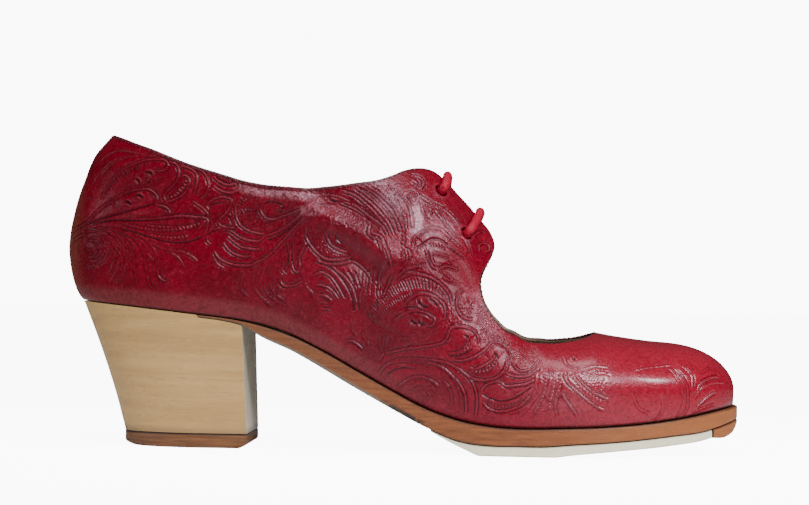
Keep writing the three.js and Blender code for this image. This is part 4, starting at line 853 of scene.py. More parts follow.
def along_marks(marks, gap):
    """Places an even gap apart along the marks, with the direction at each."""
    fine = smooth_marks(marks, FINE_STEP)
    lengths = path_lengths(fine)
    wanted = np.arange(gap / 2, lengths[-1], gap)
    spots, ahead, behind = (
        np.stack([np.interp(wanted + shift, lengths, fine[:, axis]) for axis in (0, 1)], 1)
        for shift in (0, FINE_STEP, -FINE_STEP))
    return spots, unit(ahead - behind)


def inside_outline(outline, spots):
    """Which of the spots lie inside a closed outline."""
    within = np.zeros(len(spots), bool)
    for (x1, y1), (x2, y2) in zip(outline, np.roll(outline, -1, axis=0)):
        crosses = (y1 > spots[:, 1]) != (y2 > spots[:, 1])
        with np.errstate(divide="ignore", invalid="ignore"):
            at = (x2 - x1) * (spots[:, 1] - y1) / (y2 - y1) + x1
        within ^= crosses & (spots[:, 0] < at)
    return within


BEAD_GAP = 1.5
RIB_TAPER = 0.5
MATTING_GAP = 1.05
MATTING_SHAKE = 0.35
SWELL_HEIGHT = 0.5
SWELL_WIDTH = 2.4
SWELL_REACH = 6.0
SWELL_TAPER = 4.0
random = np.random.default_rng(7)


def press_beads(side, marks):
    for spot in along_marks(marks, BEAD_GAP)[0]:
        press(side, "bead", [spot])


def press_ribs(side, marks, length, gap):
    """Short strokes side by side, each across the marks."""
    for spot, way in zip(*along_marks(marks, gap)):
        across = np.array([-way[1], way[0]]) * length / 2
        press(side, "rib", [spot - across, spot, spot + across], taper=RIB_TAPER)


def press_ground(side, marks):
    """Dots of the matted ground inside an outline, on a grid shaken a little."""
    outline = np.array(marks)
    low, high = outline.min(0), outline.max(0)
    across, up = np.meshgrid(*(np.arange(low[axis], high[axis], MATTING_GAP) for axis in (0, 1)))
    spots = np.stack([across.ravel(), up.ravel()], 1)
    spots += random.uniform(-MATTING_SHAKE, MATTING_SHAKE, spots.shape) * MATTING_GAP
    for spot in spots[inside_outline(outline, spots)]:
        press(side, "dot", [spot])


def raise_swell(side, marks):
    """Low round ridge, as of a leaf pushed up from the back."""
    stroke = Stroke(side, marks, SWELL_REACH, taper=SWELL_TAPER)
    ridge = SWELL_HEIGHT * stroke.bell(0, SWELL_WIDTH)
    swell[stroke.window] = np.maximum(swell[stroke.window], ridge)


def tool_leather(side):
    """Press every entry of the tooling into one side."""
    for entry in TOOLING.replace("\n    ", " ").strip().splitlines():
        head, marks = entry.split(":")
        kind, *sizes = head.split()
        marks = [tuple(map(float, mark.split())) for mark in marks.split(",")]
        if kind == "beads":
            press_beads(side, marks)
        elif kind == "ribs":
            press_ribs(side, marks, *map(float, sizes))
        elif kind == "ground":
            press_ground(side, marks)
        elif kind == "swell":
            raise_swell(side, marks)
        else:
            press(side, kind, marks)


# How far a fold is followed and how far its ends fade, in its own widths
FOLD_STEP = 0.5
FOLD_REACH = 2.2
FOLD_TAPER = 2.5


def fold_leather(side):
    """Push the soft folds of one side out or in."""
    for height, width, marks in FOLDS:
        stroke = Stroke(side, marks, FOLD_REACH * width, step=FOLD_STEP, taper=FOLD_TAPER * width)
        folds[stroke.window] += height * stroke.bell(0, width)


folds = np.zeros(leather_grid.shape[:2])
for foot_side in (OUTER, INNER):
    fold_leather(foot_side)
leather_grid = leather_grid + base_normals * folds[..., None]
base_normals = grid_normals(leather_grid)
for foot_side in (OUTER, INNER):
    tool_leather(foot_side)


# Meshes

def add_mesh(name, points, quads, material, nodes=(), normals=None, attributes=None):
    """Mesh from points in millimetres of the last's frame, carried by the shoe's one body."""
    mesh = bpy.data.meshes.new(name)
    placed = ((np.asarray(points).reshape(-1, 3) + ROW_SHIFT) * MM).astype(np.float32)
    quads = np.asarray(quads)
    sides = quads.shape[1]
    mesh.vertices.add(len(placed))
    mesh.vertices.foreach_set("co", placed.ravel())
    mesh.loops.add(quads.size)
    mesh.loops.foreach_set("vertex_index", quads.ravel().astype(np.int32))
    mesh.polygons.add(len(quads))
    mesh.polygons.foreach_set("loop_start", np.arange(0, quads.size, sides, dtype=np.int32))
    mesh.update(calc_edges=True)
    mesh.validate()
    mesh.shade_smooth()
    for key, values in (attributes or {}).items():
        by_face = np.size(values) == len(quads)
        attribute = mesh.attributes.new(key, "FLOAT", "FACE" if by_face else "POINT")
        attribute.data.foreach_set("value", np.asarray(values, np.float32).ravel())
    if normals is not None:
        mesh.normals_split_custom_set_from_vertices(np.asarray(normals).reshape(-1, 3).tolist())
    piece = bpy.data.objects.new(name, mesh)
    bpy.context.scene.collection.objects.link(piece)
    mesh.materials.append(material)
    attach(piece, "root")
    if nodes:
        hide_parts(*nodes)
    return piece


def grid_quads(rows, levels, flip=False, wrap=False):
    """Faces of a grid of points, rows by levels; wrap joins the last row to the first."""
    row = np.arange(rows if wrap else rows - 1)
    level = np.arange(levels - 1)
    low = (row[:, None] * levels + level[None, :]).ravel()
    nxt = (((row[:, None] + 1) % rows) * levels + level[None, :]).ravel()
    quads = np.stack([low, low + 1, nxt + 1, nxt], 1)
    return quads[:, ::-1] if flip else quads


# Materials

# Places of the colour sockets on a mix node
MIX_SHARE, MIX_FIRST, MIX_SECOND, MIX_RESULT = 0, 6, 7, 2


def soft_range(tree, value, low, high, to_low, to_high):
    """Output that eases from one value to another while the input runs from low to high."""
    node = tree.nodes.new("ShaderNodeMapRange")
    node.interpolation_type = "SMOOTHSTEP"
    for name, amount in (("From Min", low), ("From Max", high), ("To Min", to_low), ("To Max", to_high)):
        node.inputs[name].default_value = amount
    tree.links.new(value, node.inputs["Value"])
    return node.outputs["Result"]


class Finish:
    """Builds one material's nodes in a few plain words."""

    def __init__(self, name, colour, roughness):
        self.material = bpy.data.materials.new(name)
        self.material.use_nodes = True
        self.tree = self.material.node_tree
        self.shader = self.tree.nodes["Principled BSDF"]
        self.shader.inputs["Base Color"].default_value = (*colour, 1)
        self.shader.inputs["Roughness"].default_value = roughness
        self.place = self.tree.nodes.new("ShaderNodeTexCoord").outputs["Object"]

    def put(self, node, name, value):
        socket = node.inputs[name]
        if isinstance(value, bpy.types.NodeSocket):
            self.tree.links.new(value, socket)
        else:
            socket.default_value = value

    def stretched(self, scale, turn=(0, 0, 0)):
        node = self.tree.nodes.new("ShaderNodeMapping")
        self.put(node, "Vector", self.place)
        node.inputs["Scale"].default_value = scale
        node.inputs["Rotation"].default_value = turn
        return node.outputs["Vector"]

    def noise(self, scale, detail=3.0, rough=0.55, where=None, distortion=0.0):
        node = self.tree.nodes.new("ShaderNodeTexNoise")
        self.put(node, "Vector", where or self.place)
        for name, value in (("Scale", scale), ("Detail", detail), ("Roughness", rough),
                            ("Distortion", distortion)):
            node.inputs[name].default_value = value
        return node.outputs["Fac"]

    def cells(self, scale):
        node = self.tree.nodes.new("ShaderNodeTexVoronoi")
        self.put(node, "Vector", self.place)
        node.inputs["Scale"].default_value = scale
        return node.outputs["Distance"]

    def read(self, name):
        node = self.tree.nodes.new("ShaderNodeAttribute")
        node.attribute_name = name
        return node.outputs["Fac"]

    def axis(self, name):
        node = self.tree.nodes.new("ShaderNodeSeparateXYZ")
        self.put(node, "Vector", self.place)
        return node.outputs[name]

    def math(self, kind, first, second):
        node = self.tree.nodes.new("ShaderNodeMath")
        node.operation = kind
        self.put(node, 0, first)
        self.put(node, 1, second)
        return node.outputs[0]

    def times(self, first, second):
        return self.math("MULTIPLY", first, second)

    def plus(self, first, second):
        return self.math("ADD", first, second)

    def minus(self, first, second):
        return self.math("SUBTRACT", first, second)

    def range(self, value, low, high, to_low=0.0, to_high=1.0):
        return soft_range(self.tree, value, low, high, to_low, to_high)

    def mix(self, share, first, second):
        """Colour between two, each one a colour or the output of a node."""
        node = self.tree.nodes.new("ShaderNodeMix")
        node.data_type = "RGBA"
        for index, value in ((MIX_SHARE, share), (MIX_FIRST, first), (MIX_SECOND, second)):
            self.put(node, index, (*value, 1) if isinstance(value, tuple) else value)
        return node.outputs[MIX_RESULT]

    def over(self, colour, *coats):
        """A colour with others laid over it, each given by its share and its colour."""
        for share, tone in coats:
            colour = self.mix(share, colour, tone)
        return colour

    def bump(self, height, distance, strength):
        node = self.tree.nodes.new("ShaderNodeBump")
        node.inputs["Distance"].default_value = distance
        node.inputs["Strength"].default_value = strength
        self.put(node, "Height", height)
        self.put(self.shader, "Normal", node.outputs["Normal"])

    def paint(self, colour):
        self.put(self.shader, "Base Color", colour)

    def gloss(self, roughness):
        self.put(self.shader, "Roughness", roughness)

    def coat(self, weight, roughness):
        self.put(self.shader, "Coat Weight", weight)
        self.put(self.shader, "Coat Roughness", roughness)


LEATHER_TONES = {
    "deep": (0.085, 0.0004, 0.005),
    "red": (0.19, 0.0008, 0.011),
    "warm": (0.36, 0.006, 0.026),
    "floor_reflection_band": (0.18, 0.034, 0.036),
    "back": (0.26, 0.075, 0.05),
    "pore": (0.07, 0.0006, 0.006),
    "glint": (0.46, 0.04, 0.08),
    "painted_shine": (0.78, 0.4, 0.5),
    "ridge": (0.6, 0.08, 0.14),
    "groove": (0.03, 0.0006, 0.003),
    "rubbed": (0.42, 0.09, 0.1),
    "edge": (0.05, 0.003, 0.008),
    "foot": (0.025, 0.008, 0.006),
}
SHEEN_TINT = (1.0, 0.8, 0.98, 1)

# Painted highlights: lighter patches of painted shine on the leather and under its top edge, then the dull
# place on the facing: middle along and up the shoe, half length and half height in millimetres, then strength
PAINTED_SHINE_PATCHES = [
    (-3, 92, 6, 5, 0.2), (6, 87.5, 2.8, 7, 0.55), (16, 84, 6, 3.5, 0.18), (-33, 89, 5, 2.2, 0.16),
    (60, 25, 20, 9, 0.06),
]
EDGE_SHINE_PATCH = (-46, 93, 16, 12, 0.36)
DULL_PATCH = (24, 68, 14, 10, 0.8)

# Squared distances, in half sizes, from which a patch begins and at which it is full
PATCH_FADE = (1.6, 0.1)


def patch(finish, along, up, length, tall, strength):
    """Soft oval seen from the side of the shoe."""
    aside = finish.times(finish.minus(finish.axis("X"), along * MM), 1 / (length * MM))
    above = finish.times(finish.minus(finish.axis("Z"), up * MM), 1 / (tall * MM))
    away = finish.plus(finish.times(aside, aside), finish.times(above, above))
    return finish.range(away, *PATCH_FADE, 0.0, strength)


def leather_body(finish, grain):
    """Red that is dark at the heel and warm at the toe, greyer low over the sole towards the back: a painted
    reflection of the floor.
    """
    x, height, tones = finish.axis("X"), finish.read("height"), LEATHER_TONES
    mottle = finish.range(finish.noise(55, 5, 0.62), 0.3, 0.72, 0.25, 1.0)
    front = finish.range(x, -0.01, 0.11, 0.0, 0.8)
    # Painted reflection of the floor: greyer red on the lowest few millimetres of the upper, towards the
    # back.
    floor_reflection_band = finish.times(finish.range(height, 8.5, 5.0, 0.0, 0.6), finish.range(x, 0.03, -0.03))
    back = finish.range(x, -0.118, -0.1275, 0.0, 0.8)
    dark, light = finish.range(grain, 0.5, 0.36, 0.0, 0.42), finish.range(grain, 0.54, 0.68, 0.0, 0.2)
    return finish.over(finish.mix(mottle, tones["deep"], tones["red"]), (front, tones["warm"]),
                       (floor_reflection_band, tones["floor_reflection_band"]), (back, tones["back"]), (dark, tones["pore"]),
                       (light, tones["glint"]))


def leather_painted_shine(finish, grain, colour):
    """Painted highlights: lighter places of painted shine, broken up by the grain."""
    broken = finish.range(grain, 0.38, 0.56, 0.15, 1.0)
    edge = finish.read("edge")
    strip = finish.times(finish.range(edge, 5.0, 2.5), finish.range(edge, 0.8, 1.6))
    # Painted highlights: a lighter mix along the top edge and in each patch.
    painted_shine = [finish.times(strip, patch(finish, *EDGE_SHINE_PATCH))]
    painted_shine += [patch(finish, *place) for place in PAINTED_SHINE_PATCHES]
    return finish.over(colour, *((finish.times(share, broken), LEATHER_TONES["painted_shine"]) for share in painted_shine))


def leather_marks(finish, colour):
    """Ridges of the tooling lighter, partly worn and partly a painted highlight, dark grooves, the dark line
    at the edge, and a painted shadow along the foot where the upper meets the sole.
    """
    relief, tones = finish.read("relief"), LEATHER_TONES
    # Ridges of the tooling mixed lighter: partly worn, partly a painted highlight on their tops.
    ridge = finish.range(relief, 0.05, 0.34, 0.0, 0.3)
    groove = finish.range(relief, -0.02, -0.24, 0.0, 0.85)
    rubbed = finish.range(finish.noise(240, 5, 0.7), 0.6, 0.75, 0.0, 0.14)
    edge = finish.range(finish.read("edge"), 1.4, 0.3, 0.0, 0.45)
    # Painted shadow: a dark line along the foot of the upper, where it meets the sole.
    foot = finish.range(finish.read("height"), 1.1, 0.4, 0.0, 0.85)
    return finish.over(colour, (ridge, tones["ridge"]), (groove, tones["groove"]),
                       (rubbed, tones["rubbed"]), (edge, tones["edge"]), (foot, tones["foot"]))


def leather_surface(finish):
    """Fine grain, and a gloss that grows towards the polished toe."""
    pores = finish.times(finish.cells(1150), 0.6)
    wrinkles = finish.times(finish.noise(480, 4, 0.65, distortion=0.6), 1.2)
    finish.bump(finish.plus(pores, wrinkles), 0.00018, 0.7)
    finish.gloss(finish.range(finish.noise(420, 4, 0.65), 0.32, 0.7, 0.24, 0.4))
    sheen = finish.range(finish.axis("X"), -0.1, 0.0, 0.14, 0.32)
    sheen = finish.times(sheen, finish.minus(1.0, patch(finish, *DULL_PATCH)))
    finish.put(finish.shader, "Specular IOR Level", sheen)
    finish.put(finish.shader, "Specular Tint", SHEEN_TINT)
    finish.coat(finish.range(finish.axis("X"), 0.03, 0.08, 0.05, 0.6), 0.2)


def tooled_leather():
    finish = Finish("tooled_leather", (0.2, 0.006, 0.018), 0.34)
    grain = finish.noise(760, 4, 0.7)
    # The lighter patches laid on here are painted highlights.
    colour = leather_painted_shine(finish, grain, leather_body(finish, grain))
    finish.paint(leather_marks(finish, colour))
    leather_surface(finish)
    return finish.material


def lining_leather():
    finish = Finish("lining_leather", (0.2, 0.165, 0.1), 0.75)
    mottle = finish.range(finish.noise(70, 4), 0.3, 0.7)
    nap = finish.range(finish.noise(600, 3), 0.45, 0.7, 0, 0.4)
    base = finish.mix(mottle, (0.15, 0.125, 0.075), (0.26, 0.215, 0.14))
    finish.paint(finish.mix(nap, base, (0.34, 0.3, 0.22)))
    finish.bump(finish.plus(finish.cells(1600), finish.noise(800, 4)), 0.0001, 0.5)
    return finish.material


def folded_edge_leather():
    finish = Finish("folded_edge_leather", (0.05, 0.004, 0.01), 0.42)
    worn = finish.range(finish.noise(300, 4), 0.35, 0.7)
    inside = finish.range(finish.read("inward"), 0.5, 0.62)
    fold = finish.mix(worn, (0.035, 0.004, 0.008), (0.12, 0.015, 0.022))
    finish.paint(finish.mix(inside, fold, (0.2, 0.165, 0.1)))
    finish.bump(finish.noise(900, 3), 0.0001, 0.5)
    return finish.material


def sole_leather():
    """Brown leather, lighter at the toe and grey under the waist, with one dark stain there, and a painted
    shadow along its top under the upper.
    """
    finish = Finish("sole_leather", (0.33, 0.125, 0.045), 0.55)
    x, share = finish.axis("X"), finish.read("share")
    fibres = finish.noise(1.0, 5, 0.65, where=finish.stretched((90, 90, 900)))
    forward = finish.range(x, 0.03, 0.125, 0, 0.6)
    waist = finish.range(x, 0.005, -0.04, 0, 0.45)
    flecks = finish.range(finish.noise(1400, 2), 0.62, 0.75, 0, 0.5)
    # Painted shadow: the top of the sole edge darker, under the upper that bulges over it.
    top, bottom = finish.range(share, 0.86, 0.99, 0, 0.8), finish.range(share, 0.09, 0.0, 0, 0.5)
    under = finish.times(finish.range(share, 0.3, 0.1, 0, 0.75), finish.range(x, 0.006, -0.01))
    stain = finish.times(finish.range(x, -0.008, -0.001), finish.range(x, 0.013, 0.007))
    stain = finish.times(stain, finish.range(share, 0.42, 0.16))
    stain = finish.times(stain, finish.range(finish.noise(420, 4, 0.7), 0.35, 0.55))
    base = finish.mix(finish.range(fibres, 0.3, 0.72), (0.165, 0.045, 0.012), (0.29, 0.088, 0.024))
    finish.paint(finish.over(base, (forward, (0.43, 0.145, 0.045)), (waist, (0.13, 0.05, 0.022)),
                             (flecks, (0.12, 0.04, 0.016)), (top, (0.05, 0.016, 0.008)),
                             (bottom, (0.09, 0.05, 0.03)), (under, (0.16, 0.15, 0.125)),
                             (stain, (0.012, 0.012, 0.011))))
    finish.gloss(finish.range(finish.noise(200, 3), 0.3, 0.7, 0.42, 0.66))
    finish.bump(finish.plus(fibres, finish.noise(1500, 3)), 0.00016, 0.6)
    return finish.material


def cream_rubber():
    finish = Finish("cream_rubber", (0.77, 0.72, 0.56), 0.65)
    share = finish.read("share")
    mottle = finish.range(finish.noise(110, 4), 0.35, 0.75)
    dust = finish.range(finish.noise(700, 4, 0.7), 0.6, 0.72, 0, 0.22)
    joint = finish.range(share, 0.84, 0.98, 0, 0.7)
    worn = finish.times(finish.range(share, 0.25, 0.0), finish.range(finish.noise(60, 3), 0.4, 0.6, 0.1, 0.5))
    base = finish.mix(mottle, (0.98, 0.93, 0.7), (0.93, 0.86, 0.61))
    finish.paint(finish.over(base, (dust, (0.4, 0.34, 0.24)), (joint, (0.2, 0.12, 0.07)),
                             (worn, (0.62, 0.57, 0.42))))
    finish.bump(finish.noise(650, 4, 0.7), 0.0004, 0.8)
    return finish.material


GRAIN_TILT = (0, 0.05, 0)


def heel_wood():
    """Pale wood with its grain along the shoe, fine dark pores and light flecks, and a painted cool light on
    its breast face, paler and greyer.
    """
    finish = Finish("heel_wood", (0.5, 0.3, 0.13), 0.42)
    growth = finish.noise(1.0, 4, 0.5, where=finish.stretched((14, 60, 300), GRAIN_TILT), distortion=0.2)
    pores = finish.noise(1.0, 3, 0.6, where=finish.stretched((150, 900, 2100), GRAIN_TILT))
    flecks = finish.noise(1.0, 2, 0.5, where=finish.stretched((260, 700, 1500), GRAIN_TILT))
    dark, light = finish.range(pores, 0.56, 0.7, 0, 0.5), finish.range(flecks, 0.62, 0.74, 0, 0.35)
    stain = finish.range(finish.noise(34, 3), 0.5, 0.75, 0, 0.3)
    # Painted light: the breast face mixed paler and greyer, as the same wood in cool light.
    breast = finish.times(finish.read("breast"), 0.9)
    low = finish.range(finish.axis("Z"), 0.0085, 0.0055, 0, 0.55)
    base = finish.mix(finish.range(growth, 0.3, 0.7), (0.49, 0.284, 0.098), (0.6, 0.368, 0.134))
    finish.paint(finish.over(base, (dark, (0.27, 0.155, 0.065)), (light, (0.68, 0.48, 0.25)),
                             (stain, (0.33, 0.21, 0.105)), (breast, (0.72, 0.65, 0.52)),
                             (low, (0.2, 0.12, 0.06))))
    finish.gloss(finish.range(growth, 0.3, 0.7, 0.36, 0.5))
    finish.bump(finish.plus(pores, growth), 0.00008, 0.45)
    finish.coat(0.15, 0.3)
    return finish.material


def lift_leather():
    finish = Finish("lift_leather", (0.16, 0.06, 0.03), 0.5)
    layers = finish.noise(1.0, 4, 0.6, where=finish.stretched((70, 70, 1300)))
    flecks = finish.range(finish.noise(900, 3), 0.6, 0.74, 0, 0.5)
    top = finish.range(finish.axis("Z"), 0.0046, 0.0049, 0, 0.85)
    base = finish.mix(finish.range(layers, 0.3, 0.7), (0.11, 0.038, 0.012), (0.215, 0.085, 0.027))
    finish.paint(finish.over(base, (flecks, (0.05, 0.02, 0.01)), (top, (0.018, 0.01, 0.007))))
    finish.bump(finish.plus(layers, finish.noise(1300, 3)), 0.00018, 0.6)
    return finish.material


def red_cord():
    finish = Finish("red_cord", (0.5, 0.01, 0.024), 0.55)
    plait = finish.read("plait")
    finish.paint(finish.mix(finish.range(plait, 0.1, 0.7), (0.13, 0.001, 0.008), (0.4, 0.005, 0.03)))
    finish.bump(finish.plus(plait, finish.times(finish.noise(2500, 2), 0.25)), 0.00022, 0.8)
    finish.put(finish.shader, "Specular IOR Level", 0.25)
    return finish.material


def dark_thread():
    finish = Finish("dark_thread", (0.05, 0.004, 0.009), 0.6)
    twist = finish.range(finish.noise(1800, 2), 0.4, 0.6)
    finish.paint(finish.mix(twist, (0.03, 0.003, 0.006), (0.11, 0.01, 0.018)))
    finish.bump(finish.noise(3000, 2), 0.00008, 0.6)
    return finish.material


leather = tooled_leather()
lining_finish, edge_finish = lining_leather(), folded_edge_leather()
sole_finish, rubber_finish = sole_leather(), cream_rubber()
wood_finish, lift_finish = heel_wood(), lift_leather()
cord_finish, thread_finish = red_cord(), dark_thread()

# Upper: the tooled outside in four panels that share one grid

EYELET_REACH = 9
HOLE_DEPTH = 1.5
HOLE_MARGIN = 0.3
HOLE_SOFTNESS = 0.7
RING_HEIGHT = 0.18
RING_GAP = 0.9
RING_WIDTH = 0.8
PLAIN_START = 2.4
PLAIN_END = 4.4
NO_EDGE = 50.0
PANEL_JOIN = SIDE_ROWS // 2
PANELS = [
    ("quarter_outer", PANEL_JOIN, SIDE_ROWS),
    ("vamp_outer", 0, PANEL_JOIN),
    ("quarter_inner", SIDE_ROWS, 2 * SIDE_ROWS - PANEL_JOIN),
    ("vamp_inner", 2 * SIDE_ROWS - PANEL_JOIN, 2 * SIDE_ROWS),
]


def punch_eyelets(relief):
    """Relief with a plain ring around each hole, and how far each hole is sunk."""
    sink = np.zeros(relief.shape)
    for side in (OUTER, INNER):
        for place in EYELETS[1:]:
            centre, axis = surface_at(side, *place), surface_normal(side, *place)
            away = leather_grid - centre
            from_axis = np.linalg.norm(away - (away @ axis)[..., None] * axis, axis=2)
            around = (np.linalg.norm(away, axis=2) < EYELET_REACH) & (from_axis < EYELET_REACH)
            hole = np.clip((LACE_HOLE / 2 + HOLE_MARGIN - from_axis) / HOLE_SOFTNESS, 0, 1)
            ring = np.exp(-((from_axis - LACE_HOLE / 2 - RING_GAP) / RING_WIDTH) ** 2)
            plain = np.clip((from_axis - PLAIN_START) / (PLAIN_END - PLAIN_START), 0, 1)
            relief = np.where(around, relief * plain + RING_HEIGHT * ring, relief)
            depth = HOLE_DEPTH * hole * hole * (3 - 2 * hole)
            sink = np.where(around, np.maximum(sink, depth), sink)
    return relief, sink


relief, eyelet_sink = punch_eyelets(raised - sunk)
shaped = leather_grid + base_normals * (relief + swell - eyelet_sink)[..., None]
shaped_normals = grid_normals(shaped)
height_up = np.linspace(0, 1, LEVELS)[None, :] * row_reach[:, None]
edge_down = np.where(closed_rows[:, None], NO_EDGE, row_reach[:, None] - height_up)
for panel_name, first, final in PANELS:
    span = slice(first, final + 1)
    add_mesh(panel_name, shaped[span], grid_quads(final + 1 - first, LEVELS), leather,
             nodes=("upper",), normals=shaped_normals[span],
             attributes={"relief": (relief - eyelet_sink)[span], "height": height_up[span],
                         "edge": edge_down[span]})

# Lining: the inside wall from the top edge down to the sole line

LINING_STEP = 4


def build_lining():
    """Inside wall, whose lowest points lie on the sole line."""
    rows_in = np.arange(0, 2 * SIDE_ROWS, LINING_STEP)
    levels_in = np.arange(LEVELS - 1, -1, -LINING_STEP)
    wall = leather_grid - base_normals * UPPER_WALL
    inside = wall[rows_in][:, levels_in]
    feet = whole_ring(row_values(OUTER, places)[0], row_values(INNER, places)[0])
    for column, row in enumerate(rows_in):
        side = OUTER if row <= SIDE_ROWS else INNER
        x, y = line_point(side, feet[row], -UPPER_WALL)
        inside[column, -1] = (x, y, sole_line(feet[row]))
    add_mesh("lining", inside, grid_quads(len(rows_in), len(levels_in), wrap=True), lining_finish)


# Folded edge: a half round over the top of the wall

RIM_STEPS = 9


def build_folded_edge(open_rows):
    edge_normal = base_normals[open_rows, -1][:, None]
    middle = leather_grid[open_rows, -1][:, None] - edge_normal * (UPPER_WALL / 2)
    turn = np.linspace(0, math.pi, RIM_STEPS)
    across = edge_normal * (UPPER_WALL / 2 * np.cos(turn))[None, :, None]
    upward = row_rolls[open_rows][:, None] * np.sin(turn)[None, :, None]
    add_mesh("folded_edge", middle + across + upward, grid_quads(len(open_rows), RIM_STEPS), edge_finish,
             attributes={"inward": np.tile(np.linspace(0, 1, RIM_STEPS), len(open_rows))})


edge_rows = np.where(~closed_rows)[0]
build_lining()
build_folded_edge(np.concatenate([[edge_rows[0] - 1], edge_rows, [edge_rows[-1] + 1]]))

# Stitches along the top edge, set by a small tree of nodes

STITCH_DROP = 0.5
STITCH_PITCH = 2.1
STITCH_LENGTH = 1.3
THREAD_RADIUS = 0.24
STITCH_SEGMENTS = 8
STITCH_RINGS = 6
STITCH_PATH_STEP = 3


def stitch_tree(material):
    """Tree that sets stretched beads along a path: pitch, length and radius are its inputs."""
    tree = bpy.data.node_groups.new("stitch_row", "GeometryNodeTree")
    tree.interface.new_socket("Geometry", in_out="INPUT", socket_type="NodeSocketGeometry")
    for name in ("Pitch", "Length", "Radius"):
        tree.interface.new_socket(name, in_out="INPUT", socket_type="NodeSocketFloat")
    tree.interface.new_socket("Geometry", in_out="OUTPUT", socket_type="NodeSocketGeometry")
    given, result, path, spaced, tangent, turn, bead, size, stretched, half, placed, real, painted = (
        tree.nodes.new(kind) for kind in (
            "NodeGroupInput", "NodeGroupOutput", "GeometryNodeMeshToCurve", "GeometryNodeResampleCurve",
            "GeometryNodeInputTangent", "FunctionNodeAlignRotationToVector", "GeometryNodeMeshUVSphere",
            "ShaderNodeCombineXYZ", "GeometryNodeTransform", "ShaderNodeMath",
            "GeometryNodeInstanceOnPoints", "GeometryNodeRealizeInstances", "GeometryNodeSetMaterial"))
    spaced.mode = "LENGTH"
    turn.axis = "X"
    half.operation = "MULTIPLY"
    half.inputs[1].default_value = 0.5
    bead.inputs["Segments"].default_value = STITCH_SEGMENTS
    bead.inputs["Rings"].default_value = STITCH_RINGS
    bead.inputs["Radius"].default_value = 1.0
    painted.inputs["Material"].default_value = material
    for source, output, target, entry in (
            (given, "Geometry", path, "Mesh"), (path, "Curve", spaced, "Curve"),
            (given, "Pitch", spaced, "Length"), (tangent, "Tangent", turn, "Vector"),
            (given, "Length", half, 0), (half, 0, size, "X"),
            (given, "Radius", size, "Y"), (given, "Radius", size, "Z"),
            (bead, "Mesh", stretched, "Geometry"), (size, "Vector", stretched, "Scale"),
            (spaced, "Curve", placed, "Points"), (stretched, "Geometry", placed, "Instance"),
            (turn, "Rotation", placed, "Rotation"), (placed, "Instances", real, "Geometry"),
            (real, "Geometry", painted, "Geometry"), (painted, "Geometry", result, "Geometry")):
        tree.links.new(source.outputs[output], target.inputs[entry])
    return tree


def stitch_row(name, path):
    """Row of stitches along a path in millimetres of the last's frame."""
    guide_mesh = bpy.data.meshes.new(name)
    links = [(at, at + 1) for at in range(len(path) - 1)]
    guide_mesh.from_pydata(((path + ROW_SHIFT) * MM).tolist(), links, [])
    guide = bpy.data.objects.new(name, guide_mesh)
    bpy.context.scene.collection.objects.link(guide)
    tree = stitch_tree(thread_finish)
    modifier = guide.modifiers.new("stitches", "NODES")
    modifier.node_group = tree
    sizes = {"Pitch": STITCH_PITCH, "Length": STITCH_LENGTH, "Radius": THREAD_RADIUS}
    for socket in tree.interface.items_tree:
        if socket.in_out == "INPUT" and socket.name in sizes:
            modifier[socket.identifier] = sizes[socket.name] * MM
    bpy.context.view_layer.update()
    evaluated = guide.evaluated_get(bpy.context.evaluated_depsgraph_get())
    stitches = bpy.data.meshes.new_from_object(evaluated)
    stitches.name = name
    guide.modifiers.remove(modifier)
    guide.data = stitches
    stitches.shade_smooth()
    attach(guide, "root")


stitch_levels = (1 - STITCH_DROP / row_reach[edge_rows]) * (LEVELS - 1)
stitch_path = grid_read(shaped, edge_rows.astype(float), stitch_levels)
stitch_row("edge_stitches", stitch_path[::STITCH_PATH_STEP])

# Layers under the upper

OUTSOLE = [
    ("along", "thick", "edge"),
    (0.208, 0.1, 0.1), (0.25, 0.15, 0.15), (0.274, 0.24, 0.25), (0.3, 0.65, 0.4), (0.349, 0.9, 0.5),
    (0.397, 1.05, 0.55), (0.494, 1.08, 0.65), (0.543, 1.1, 0.75), (0.591, 1.21, 0.85), (0.638, 1.1, 1.0),
    (0.678, 1.0, 1.0), (0.715, 1.01, 1.0), (0.76, 0.93, 1.0), (0.821, 0.89, 0.95), (0.893, 0.9, 0.85),
    (0.95, 1.02, 0.75), (1.0, 0.8, 0.65),
]
HALF_SOLE = [
    ("along", "thick"),
    (0.552, 0.1), (0.575, 0.28), (0.6, 0.6), (0.625, 1.12), (0.68, 1.1), (0.725, 1.1), (0.762, 0.98),
    (0.821, 0.88), (0.893, 0.92), (0.957, 0.83),
]
TOE_PIECE = [("along", "thick"), (0.957, 0.85), (0.981, 1.26), (0.991, 1.05), (1.0, 0.3)]
outsole_thick, outsole_edge = curve(OUTSOLE, "thick"), curve(OUTSOLE, "edge")
half_sole_thick, toe_piece_thick = curve(HALF_SOLE, "thick"), curve(TOE_PIECE, "thick")


def outsole_top(along):
    return sole_line(along) - FIT_GAP


def outsole_bottom(along):
    return outsole_top(along) - outsole_thick(along) * OUTSOLE_THICKNESS


def half_sole_top(along):
    return outsole_bottom(along) - FIT_GAP


def half_sole_bottom(along):
    return np.maximum(0, half_sole_top(along) - half_sole_thick(along) * HALF_SOLE_THICKNESS)


def toe_piece_bottom(along):
    return outsole_bottom(along) - FIT_GAP - toe_piece_thick(along) * TOE_PIECE_THICKNESS


def sole_edge(along):
    return outsole_edge(along) * OUTSOLE_EDGE


def tread_edge(along):
    return sole_edge(along) - HALF_SOLE_INSET


def footbed_edge(along):
    return np.full(np.shape(along), -(UPPER_WALL + FIT_GAP))


def footbed_top(along):
    return sole_line(along) + INSOLE_THICKNESS


